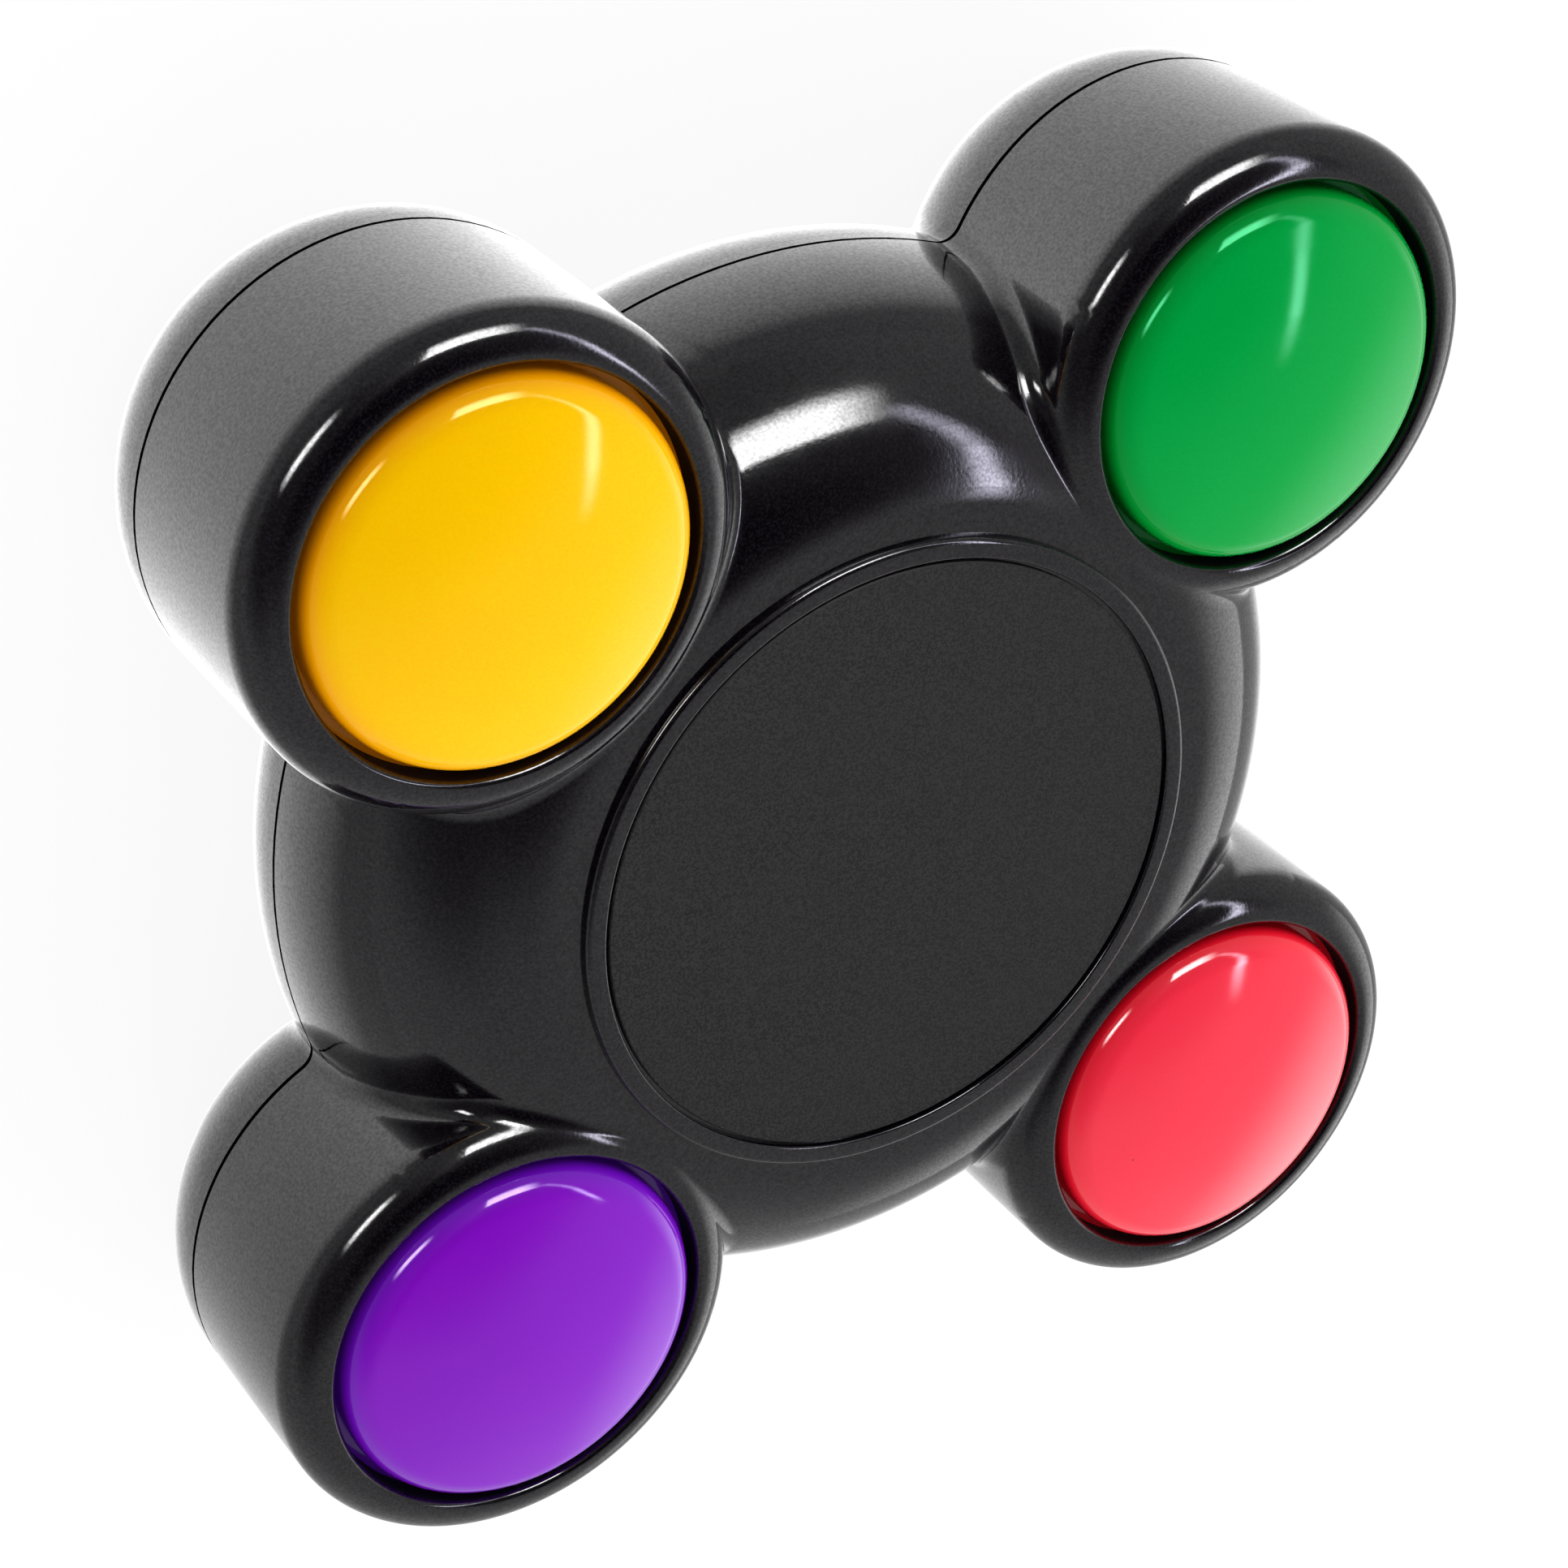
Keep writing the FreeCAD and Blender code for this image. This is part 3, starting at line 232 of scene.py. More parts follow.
def dots(tree, pitch, radius, share):
    """1 in scattered round specks and 0 elsewhere; share is the part of the cells that hold one."""
    cells = add(tree, "TexVoronoi", Vector=spot(tree), Scale=1.0 / (pitch * MM))
    edge = radius / pitch
    mark = between(tree, cells.outputs["Distance"], edge * 0.6, edge, 1.0, 0.0)
    pick = add(tree, "SeparateColor", i0=cells.outputs["Color"]).outputs[0]
    chosen = add(tree, "Math", {"operation": "GREATER_THAN"}, i0=pick, i1=1.0 - share).outputs[0]
    return times(tree, mark, chosen)


def shade(tree, share, first, second):
    """Two colours mixed; share 0 gives the first."""
    made = add(tree, "Mix", {"data_type": "RGBA"}, i0=share)
    for number, colour in ((6, first), (7, second)):
        if isinstance(colour, bpy.types.NodeSocket):
            tree.links.new(colour, made.inputs[number])
        else:
            made.inputs[number].default_value = (*colour, 1)
    return made.outputs[2]


def relief(tree, shader, height, depth):
    """Fine relief; depth is in mm."""
    made = add(tree, "Bump", Height=height, Distance=depth * MM, Strength=1.0)
    tree.links.new(made.outputs[0], shader.inputs["Normal"])


def paint(tree, shader, colour):
    tree.links.new(colour, shader.inputs["Base Color"])


def gloss(tree, shader, value, low, high):
    """Roughness that follows a value from 0.3 to 0.7."""
    tree.links.new(between(tree, value, 0.3, 0.7, low, high), shader.inputs["Roughness"])


# Light
MIDDLE = Vector((0.0, 0.0, 0.025))
LAMP_DISTANCE = 0.6


def direction(azimuth, elevation):
    """A unit vector; azimuth 0 is +X and 90 is +Y."""
    a, e = math.radians(azimuth), math.radians(elevation)
    return Vector((math.cos(a) * math.cos(e), math.sin(a) * math.cos(e), math.sin(e)))


def lamp(name, start, end, height, shine, fades, tint=(1.0, 1.0, 1.0)):
    """A strip lamp that only gloss sees, between two directions from the middle; shine is its brightness.

    fades are the shares over which it dims at its start, at its end, below and above.
    """
    first = MIDDLE + direction(*start) * LAMP_DISTANCE
    last = MIDDLE + direction(*end) * LAMP_DISTANCE
    data = bpy.data.lights.new(name, "AREA")
    data.shape = "RECTANGLE"
    data.size = (last - first).length
    data.size_y = height
    data.energy = shine * math.pi * data.size * height
    data.color = tint
    data.use_nodes = True
    tree = data.node_tree
    face = add(tree, "SeparateXYZ", Vector=add(tree, "NewGeometry").outputs["Parametric"])
    at_start, at_end, below, above = fades
    level = between(tree, face.outputs["X"], 0.0, at_start, 0.0, 1.0)
    level = times(tree, level, between(tree, face.outputs["X"], 1.0 - at_end, 1.0, 1.0, 0.0))
    level = times(tree, level, between(tree, face.outputs["Y"], 1.0 - below, 1.0, 1.0, 0.0))
    level = times(tree, level, between(tree, face.outputs["Y"], 0.0, above, 0.0, 1.0))
    tree.links.new(level, tree.nodes["Emission"].inputs["Strength"])
    piece = bpy.data.objects.new(name, data)
    bpy.context.scene.collection.objects.link(piece)
    piece.visible_camera = False
    piece.visible_diffuse = False
    place = (first + last) / 2
    back = (place - MIDDLE).normalized()
    along = (last - first).normalized()
    along = (along - back * along.dot(back)).normalized()
    turn = Matrix((along, back.cross(along), back)).transposed()
    piece.matrix_world = Matrix.Translation(place) @ turn.to_4x4()


COOL = (0.84, 0.82, 1.0)
lamp("lamp_broad", (91, 35.5), (54, 30), 0.225, 27.0, (0.06, 0.45, 0.45, 0.14))
lamp("lamp_turn", (56, 33), (36, 41.7), 0.075, 7.0, (0.4, 0.04, 0.5, 0.5), COOL)
lamp("lamp_bend", (36.4, 41.5), (21, 47), 0.068, 10.0, (0.04, 0.04, 0.5, 0.5), COOL)
lamp("lamp_streak", (21.4, 46.8), (5, 51.6), 0.06, 16.0, (0.04, 0.04, 0.5, 0.5), COOL)
lamp("lamp_streak_far", (5.6, 51.5), (-12, 52.6), 0.05, 18.0, (0.05, 0.02, 0.45, 0.45), COOL)
lamp("lamp_streak_end", (-11.6, 52.6), (-27, 52.0), 0.046, 13.0, (0.02, 0.95, 0.45, 0.45), COOL)
lamp("lamp_near", (125, 27), (158, 21), 0.14, 26.0, (0.35, 0.35, 0.45, 0.3))

# The room's brightness as a mirror sees it, and how much more of it falls on matt surfaces
ROOM = 0.6
ROOM_FILL = 3.15
ROOM_TOP = (54.0, 82.0, 0.15)
# Parts of the room: direction, degrees from it where the change is full and where it ends, its factor
ROOM_PARTS = (
    ((162.0, 47.0), 20.0, 55.0, 0.20),
    ((38.0, 68.0), 16.0, 36.0, 0.25),
    ((100.0, 15.0), 14.0, 40.0, 0.70),
    ((-33.0, 0.0), 10.0, 38.0, 3.1),
)


def surroundings():
    """A pale room, dim overhead and behind the camera; the camera itself sees plain white."""
    world = bpy.data.worlds.new("studio")
    bpy.context.scene.world = world
    world.use_nodes = True
    world.cycles.sampling_method = "NONE"
    tree = world.node_tree
    tree.nodes.clear()
    way = add(tree, "TexCoord").outputs["Generated"]
    height = add(tree, "SeparateXYZ", Vector=way).outputs["Z"]
    low, high, left = ROOM_TOP
    low, high = math.sin(math.radians(low)), math.sin(math.radians(high))
    level = between(tree, height, low, high, ROOM, ROOM * left)
    for place, full, end, factor in ROOM_PARTS:
        near = add(tree, "VectorMath", {"operation": "DOT_PRODUCT"}, i0=way, i1=direction(*place))
        inside = math.cos(math.radians(full))
        outside = math.cos(math.radians(end))
        level = times(tree, level, between(tree, near.outputs["Value"], outside, inside, 1.0, factor))
    path = add(tree, "LightPath")
    fill = between(tree, path.outputs["Is Diffuse Ray"], 0.0, 1.0, 1.0, ROOM_FILL, smooth=False)
    level = times(tree, level, fill)
    room = add(tree, "Background", Color=(1, 1, 1, 1), Strength=level)
    white = add(tree, "Background", Color=(1, 1, 1, 1), Strength=1.0)
    both = add(tree, "MixShader", i0=path.outputs["Is Camera Ray"], i1=room.outputs[0], i2=white.outputs[0])
    add(tree, "OutputWorld", Surface=both.outputs[0])


surroundings()

# The floor: how much of it glows to the camera and how brightly; the painted pool of light, a glow that gloss
# sees there, from its middle to its edge in metres, its brightness at both, and its share of the floor
FLOOR_SEEN = 0.88
FLOOR_WHITE = 1.03
POOL_MIDDLE = (0.0, 0.026, 0.0)
POOL = (0.005, 0.128, 3.1, 0.42)
POOL_SHARE = 0.8


def floor():
    """Pale floor, nearly white to the camera, with the game's soft shadow; to gloss it glows as a painted
    pool of light.
    """
    deselect()
    bpy.ops.mesh.primitive_plane_add(size=6.0, location=(0, 0, 0))
    sheet = bpy.context.object
    sheet.name = "floor"
    sheet.data.transform(Matrix.Translation((0, 0, -0.0001)))
    m, tree, shader = finish("floor", 0.9)
    shader.inputs["Base Color"].default_value = (0.93, 0.93, 0.93, 1)
    path = add(tree, "LightPath")
    away = add(tree, "VectorMath", {"operation": "LENGTH"}, i0=spot(tree, POOL_MIDDLE))
    # Painted pool of light: the glow that gloss sees, brightest round the game
    pool = between(tree, away.outputs["Value"], *POOL)
    level = between(tree, path.outputs["Is Glossy Ray"], 0.0, 1.0, FLOOR_WHITE, pool, smooth=False)
    glow = add(tree, "Emission", Color=(1, 1, 1, 1), Strength=level)
    seen = add(tree, "Math", i0=path.outputs["Is Camera Ray"], i1=path.outputs["Is Transmission Ray"])
    share = add(tree, "Math", i0=times(tree, seen.outputs[0], FLOOR_SEEN),
                i1=times(tree, path.outputs["Is Glossy Ray"], POOL_SHARE))
    both = add(tree, "MixShader", i0=share.outputs[0], i1=shader.outputs[0], i2=glow.outputs[0])
    tree.links.new(both.outputs[0], tree.nodes["Material Output"].inputs["Surface"])
    sheet.data.materials.append(m)


floor()
bpy.context.scene.view_settings.view_transform = "Standard"

# Materials: the game's finishes


def moulded_black(name="moulded_black", polished=True):
    """Black plastic: faint violet cast, fine grain, a few specks of dust; dull inside the pods."""
    m, tree, shader = finish(name, 0.2 if polished else 0.55, specular=0.25 if polished else 0.15)
    if polished:
        shader.inputs["Coat Roughness"].default_value = 0.045
        shader.inputs["Coat IOR"].default_value = 1.5
    fine = grain(tree, 0.2, 1.0)
    body = shade(tree, between(tree, fine, 0.4, 0.75, 0.0, 1.0), (0.0012, 0.0003, 0.0016),
                 (0.0075, 0.0055, 0.0090))
    dust = dots(tree, 2.6, 0.08, 0.04)
    paint(tree, shader, shade(tree, dust, body, (0.34, 0.33, 0.32)))
    if polished:
        gloss(tree, shader, grain(tree, 6.0, 3.0), 0.08, 0.15)
        coat = between(tree, grain(tree, 0.24, 1.0), 0.3, 0.7, 0.28, 0.72, smooth=False)
        tree.links.new(coat, shader.inputs["Coat Weight"])
    else:
        gloss(tree, shader, fine, 0.5, 0.65)
    relief(tree, shader, grain(tree, 0.3, 1.0), 0.005)
    return m


def label_sheet():
    """Matt dark printed sheet with a fine tooth."""
    m, tree, shader = finish("label_sheet", 0.7, specular=0.3)
    fine = grain(tree, 0.19, 1.0)
    cloud = grain(tree, 7.0, 2.0)
    base = shade(tree, between(tree, fine, 0.35, 0.65, 0.0, 1.0), (0.0015, 0.0015, 0.0012),
                 (0.0175, 0.0177, 0.017))
    cloudy = between(tree, cloud, 0.35, 0.65, 0.0, 0.12)
    paint(tree, shader, shade(tree, cloudy, base, (0.014, 0.0142, 0.0132)))
    gloss(tree, shader, fine, 0.6, 0.78)
    relief(tree, shader, fine, 0.012)
    return m


# Heights in mm between which a cap's shoulder turns to its deeper colour, as painted shade
CAP_SHADE_LOW = 28.3
CAP_SHADE_HIGH = 30.9


def cap_plastic(name, face, deep_and_shade, sheen, coat):
    """Glossy tinted plastic with painted shade: deeper in colour down its rounded edge; sheen tints the gloss
    under its coat.
    """
    m, tree, shader = finish(name, 0.08, specular=0.25)
    shader.inputs["Specular Tint"].default_value = (*sheen, 1)
    shader.inputs["Coat Weight"].default_value = coat
    shader.inputs["Coat Roughness"].default_value = 0.05
    shader.inputs["Coat IOR"].default_value = 1.31
    height = add(tree, "SeparateXYZ", Vector=spot(tree)).outputs["Z"]
    # Painted shade: the colour deepens down the rounded shoulder
    edge = between(tree, height, CAP_SHADE_LOW * MM, CAP_SHADE_HIGH * MM, 1.0, 0.0)
    cloud = between(tree, grain(tree, 9.0, 2.0), 0.35, 0.65, 0.0, 0.06)
    fine = between(tree, grain(tree, 0.22, 1.0), 0.3, 0.7, 0.0, 0.14)
    colour = shade(tree, cloud, face, deep_and_shade)
    colour = shade(tree, fine, colour, deep_and_shade)
    colour = shade(tree, edge, colour, deep_and_shade)
    marks = dots(tree, 4.5, 0.11, 0.05)
    paint(tree, shader, shade(tree, times(tree, marks, 0.7), colour, tuple(0.3 * c for c in deep_and_shade)))
    gloss(tree, shader, grain(tree, 5.0, 3.0), 0.06, 0.11)
    relief(tree, shader, grain(tree, 0.9, 2.0), 0.0008)
    return m


CAP_COLOURS = {
    # the face, the deeper colour of its grain and of the painted shade down the edge, the tint of the gloss
    # and the weight of the clear coat
    "yellow": ((0.98, 0.57, 0.0002), (1.0, 0.31, 0.0002), (1.0, 0.6, 0.01), 0.5),
    "green": ((0.0002, 0.355, 0.054), (0.0002, 0.25, 0.02), (0.02, 1.0, 0.4), 0.2),
    "purple": ((0.228, 0.004, 0.53), (0.14, 0.004, 0.53), (0.8, 0.4, 1.0), 0.8),
    "red": ((0.98, 0.034, 0.072), (1.0, 0.004, 0.02), (1.0, 0.9, 0.9), 1.0),
}


def lamp_resin(name, colour):
    """Clear tinted lamp with a hazy moulding skin."""
    m, tree, shader = finish(name, 0.12)
    shader.inputs["Transmission Weight"].default_value = 0.55
    haze = grain(tree, 1.2, 2.0)
    pale = tuple(0.6 * c + 0.4 for c in colour)
    paint(tree, shader, shade(tree, between(tree, haze, 0.3, 0.7, 0.0, 0.5), colour, pale))
    gloss(tree, shader, haze, 0.08, 0.22)
    return m


def board_green():
    """Solder mask over copper tracks, tan at the sawn edge."""
    m, tree, shader = finish("board_green", 0.35)
    where = spot(tree)
    cells = add(tree, "TexVoronoi", {"distance": "CHEBYCHEV", "feature": "F1"}, Vector=where,
                Scale=1.0 / (5.5 * MM))
    bands = add(tree, "Math", {"operation": "PINGPONG"}, i0=cells.outputs["Distance"], i1=0.14)
    track = between(tree, bands.outputs[0], 0.045, 0.07, 1.0, 0.0)
    mask = shade(tree, between(tree, grain(tree, 3.0), 0.3, 0.7, 0.0, 1.0), (0.012, 0.16, 0.055),
                 (0.02, 0.21, 0.075))
    paint(tree, shader, shade(tree, times(tree, track, 0.65), mask, (0.05, 0.33, 0.12)))
    gloss(tree, shader, grain(tree, 0.5), 0.25, 0.42)
    relief(tree, shader, track, 0.03)
    return m


def cast_resin():
    """Black epoxy of chips and drivers."""
    m, tree, shader = finish("cast_resin", 0.5)
    fine = grain(tree, 0.12, 3.0)
    paint(tree, shader, shade(tree, fine, (0.009, 0.009, 0.01), (0.026, 0.025, 0.024)))
    gloss(tree, shader, fine, 0.38, 0.6)
    relief(tree, shader, fine, 0.008)
    return m


def switch_plastic():
    """Dark moulded plastic of the touch switches and the switch lever."""
    m, tree, shader = finish("switch_plastic", 0.45)
    fine = grain(tree, 0.18, 2.0)
    paint(tree, shader, shade(tree, fine, (0.02, 0.02, 0.021), (0.045, 0.044, 0.042)))
    gloss(tree, shader, fine, 0.36, 0.55)
    relief(tree, shader, fine, 0.005)
    return m


def bright_wire():
    """Drawn steel wire of the springs."""
    m, tree, shader = finish("bright_wire", 0.28, metallic=1.0)
    streak = grain(tree, 0.3, 2.0, spot(tree, stretch=(1, 1, 0.25)))
    paint(tree, shader, shade(tree, streak, (0.5, 0.5, 0.52), (0.68, 0.67, 0.66)))
    gloss(tree, shader, streak, 0.2, 0.36)
    return m


def plated_steel():
    """Zinc-plated screws: a little clouded, fine lathe marks on top."""
    m, tree, shader = finish("plated_steel", 0.32, metallic=1.0)
    cloud = grain(tree, 0.8, 3.0)
    paint(tree, shader, shade(tree, cloud, (0.47, 0.48, 0.51), (0.63, 0.62, 0.58)))
    gloss(tree, shader, cloud, 0.24, 0.42)
    relief(tree, shader, grain(tree, 0.15, 1.0), 0.002)
    return m


def pressed_sheet():
    """Galvanised sheet with its spangle."""
    m, tree, shader = finish("pressed_sheet", 0.4, metallic=1.0)
    spangle = add(tree, "TexVoronoi", Vector=spot(tree), Scale=1.0 / (1.6 * MM)).outputs["Color"]
    pick = add(tree, "SeparateColor", i0=spangle).outputs[0]
    paint(tree, shader, shade(tree, pick, (0.44, 0.45, 0.46), (0.6, 0.6, 0.6)))
    tree.links.new(between(tree, pick, 0.0, 1.0, 0.32, 0.48), shader.inputs["Roughness"])
    return m


def can_metal():
    """Drawn aluminium can, brushed round its side."""
    m, tree, shader = finish("can_metal", 0.3, metallic=1.0)
    brushed = grain(tree, 0.6, 2.0, spot(tree, stretch=(1, 1, 0.06)))
    paint(tree, shader, shade(tree, brushed, (0.62, 0.63, 0.65), (0.78, 0.78, 0.79)))
    gloss(tree, shader, brushed, 0.22, 0.4)
    relief(tree, shader, brushed, 0.002)
    return m


def ferrite():
    """Ground ferrite: dark and dull, with dark specks of painted shade for small pits."""
    m, tree, shader = finish("ferrite", 0.6)
    fine = grain(tree, 0.25, 3.0)
    # Painted shade: dark specks stand for the shade in small pits
    pit_shade = dots(tree, 0.9, 0.16, 0.4)
    base = shade(tree, fine, (0.06, 0.06, 0.062), (0.11, 0.108, 0.105))
    paint(tree, shader, shade(tree, pit_shade, base, (0.02, 0.02, 0.02)))
    gloss(tree, shader, fine, 0.48, 0.7)
    relief(tree, shader, fine, 0.012)
    return m


CONE_MIDDLE = (0.0, 20.5 * MM, 0.0)


def cone_sheet():
    """Thin formed film with rings round the loudspeaker's middle."""
    m, tree, shader = finish("cone_sheet", 0.42)
    where = spot(tree, centre=CONE_MIDDLE)
    rings = add(tree, "TexWave", {"wave_type": "RINGS", "rings_direction": "Z"}, Vector=where,
                Scale=1.0 / (4.4 * MM), Distortion=0.0).outputs["Fac"]
    paint(tree, shader, shade(tree, rings, (0.075, 0.074, 0.07), (0.13, 0.128, 0.12)))
    gloss(tree, shader, grain(tree, 1.0), 0.34, 0.5)
    relief(tree, shader, rings, 0.04)
    return m


def nickel_plate():
    """Bright nickel of the battery contacts, faintly rubbed."""
    m, tree, shader = finish("nickel_plate", 0.2, metallic=1.0)
    rubbed = grain(tree, 0.5, 3.0, spot(tree, stretch=(1, 0.2, 1)))
    paint(tree, shader, shade(tree, rubbed, (0.62, 0.59, 0.52), (0.77, 0.75, 0.69)))
    gloss(tree, shader, rubbed, 0.13, 0.3)
    return m


JACKET_END = 21.0
BAND_WIDTH = 9.5


def cell_jacket(name, nub_way):
    """Round cell: dark jacket with a copper-coloured band at the nub's end and bare steel ends."""
    m, tree, shader = finish(name, 0.28)
    along = times(tree, add(tree, "SeparateXYZ", Vector=spot(tree)).outputs["X"], float(nub_way))
    band_start = JACKET_END - BAND_WIDTH
    band = between(tree, along, band_start * MM, (band_start + 0.15) * MM, 0.0, 1.0)
    nub_end = between(tree, along, (JACKET_END + 0.6) * MM, (JACKET_END + 0.7) * MM, 0.0, 1.0)
    flat_end = between(tree, along, -(JACKET_END + 0.2) * MM, -(JACKET_END + 0.1) * MM, 1.0, 0.0)
    bare = add(tree, "Math", {"operation": "MAXIMUM"}, i0=nub_end, i1=flat_end).outputs[0]
    fine = grain(tree, 0.3, 2.0)
    dark = shade(tree, fine, (0.028, 0.03, 0.036), (0.042, 0.044, 0.05))
    jacket = shade(tree, band, dark, (0.55, 0.24, 0.09))
    paint(tree, shader, shade(tree, bare, jacket, (0.6, 0.6, 0.6)))
    metal = add(tree, "Math", {"operation": "MAXIMUM"}, i0=bare, i1=times(tree, band, 0.85)).outputs[0]
    tree.links.new(metal, shader.inputs["Metallic"])
    gloss(tree, shader, fine, 0.2, 0.34)
    return m


def wire_cover(name, colour):
    """Soft insulation of a lead."""
    m, tree, shader = finish(name, 0.45)
    fine = grain(tree, 0.35, 2.0)
    paint(tree, shader, shade(tree, fine, colour, tuple(0.6 * c for c in colour)))
    gloss(tree, shader, fine, 0.38, 0.52)
    return m


BLACK = moulded_black()
DULL_BLACK = moulded_black("moulded_black_inside", polished=False)
WIRE = bright_wire()
CAPS = {colour: cap_plastic("cap_" + colour, *CAP_COLOURS[colour]) for colour in COLOURS}


def dress(m, *names):
    """Gives CAD nodes a finish in all their slots."""
    for name in names:
        slots = NODES[name].data.materials
        for i in range(len(slots)):
            slots[i] = m


def dress_nodes():
    dress(BLACK, "front_housing", "rear_housing", "battery_door", "power_knob")
    dress(label_sheet(), "centre_label")
    for colour, tint in (("yellow", (0.9, 0.62, 0.12)), ("green", (0.2, 0.75, 0.3)),
                         ("purple", (0.5, 0.3, 0.85)), ("red", (0.88, 0.14, 0.12))):
        dress(CAPS[colour], "button_cap_" + colour)
        dress(lamp_resin("lamp_" + colour, tint), "lamp_" + colour)
    dress(switch_plastic(), "power_lever", *("touch_switch_" + c for c in COLOURS),
          *("switch_plunger_" + c for c in COLOURS))
    dress(WIRE, *("cap_spring_" + c for c in COLOURS))
    dress(board_green(), "main_board")
    dress(cast_resin(), "game_chip", "resistors", "driver_transistors")
    dress(can_metal(), "capacitor")
    dress(plated_steel(), "board_screws", "housing_screws", "switch_screws", "door_screw")
    dress(pressed_sheet(), "speaker_frame", "power_switch_body")
    dress(cone_sheet(), "speaker_cone")
    dress(ferrite(), "speaker_magnet")
    dress(nickel_plate(), "contact_positive", "contact_negative", "contact_bridge")
    dress(cell_jacket("cell_jacket_one", -1), "battery_one")
    dress(cell_jacket("cell_jacket_two", 1), "battery_two")
    dress(wire_cover("wire_red", (0.6, 0.02, 0.02)), "battery_wires")
    dress(wire_cover("wire_black", (0.02, 0.02, 0.021)), "speaker_wires")


dress_nodes()


# Front shell
# Its skin is worked out column by column: a disc whose edge is a quarter ellipse, four
# pods with a round rim, and the valley that a ball rolls between them.
VALLEY_COLUMNS = 48
EDGE_COLUMNS = 14
POD_COLUMNS = 72
CROWN_ROWS = 48
WALL_ROWS = 10
RIM_ROWS = 22
VALLEY_ROWS = 8
# Where the rim's round ends and the mouth's begins, in degrees; they join in a nearly flat ring
RIM_END = 88.7
MOUTH_START = 93.4
# A first guess in degrees of the turn round a pod's axis at which the valley meets the seam
VALLEY_END = 106.83
# Steps of the two searches
HALVINGS = 60
NEWTON_STEPS = 40
# The hollows inside
CUT_FOOT = PARTING - 2
CUT_STEPS = 160
ROOM_ROWS = 16


def crown(t):
    """Point and outward direction on the disc's edge; t is 0 at the seam, 90 at the land."""
    reach, rise = DISC_R - LAND_R, LAND - PARTING
    a = math.radians(t)
    along, up = math.cos(a) / reach, math.sin(a) / rise
    size = math.hypot(along, up)
    return (LAND_R + reach * math.cos(a), PARTING + rise * math.sin(a)), (along / size, up / size)


def pod_skin(s):
    """Point on a pod's profile, s mm along it from the seam."""
    wall = RIM - RIM_ROUND - PARTING
    if s <= wall:
        return POD_R, PARTING + s
    a = (s - wall) / RIM_ROUND
    return POD_R - RIM_ROUND + RIM_ROUND * math.cos(a), RIM - RIM_ROUND + RIM_ROUND * math.sin(a)


def ball_on_pod(z):
    """Distance from a pod's axis of the middle of a ball that touches the pod, at height z."""
    if z <= RIM - RIM_ROUND:
        return POD_R + VALLEY
    return POD_R - RIM_ROUND + math.sqrt((RIM_ROUND + VALLEY) ** 2 - (z - RIM + RIM_ROUND) ** 2)


def ball(turn, t):
    """How far the ball that touches the disc at t is from touching the pod, at a turn round its axis."""
    (r, z), (out, up) = crown(t)
    ball_r, ball_z = r + VALLEY * out, z + VALLEY * up
    p = ball_on_pod(min(ball_z, RIM + VALLEY - 1e-9))
    return ball_r ** 2 - (PITCH ** 2 + p ** 2 + 2 * PITCH * p * math.cos(turn)), p, ball_z


def valley_column(turn):
    low, high = 0.0, 90.0
    for _ in range(HALVINGS):
        t = (low + high) / 2
        if ball(turn, t)[0] > 0:
            low = t
        else:
            high = t
    _, p, ball_z = ball(turn, t)
    centre = Vector((PITCH + p * math.cos(turn), p * math.sin(turn), ball_z))
    round_game = math.atan2(centre.y, centre.x)
    (r, z), _ = crown(t)
    on_disc = Vector((r * math.cos(round_game), r * math.sin(round_game), z))
    if ball_z <= RIM - RIM_ROUND:
        s = ball_z - PARTING
    else:
        a = math.atan2(ball_z - (RIM - RIM_ROUND), p - (POD_R - RIM_ROUND))
        s = RIM - RIM_ROUND - PARTING + RIM_ROUND * a
    pod_r, pod_z = pod_skin(s)
    on_pod = Vector((PITCH + pod_r * math.cos(turn), pod_r * math.sin(turn), pod_z))
    first, last = (on_disc - centre).normalized(), (on_pod - centre).normalized()
    spread = first.angle(last)
    points = []
    for i in range(VALLEY_ROWS + 1):
        u = i / VALLEY_ROWS
        way = (first * math.sin((1 - u) * spread) + last * math.sin(u * spread)) / math.sin(spread)
        points.append(centre + way * VALLEY)
    return {"t": t, "round_game": round_game, "s": s, "turn": turn, "points": points, "centre": centre}


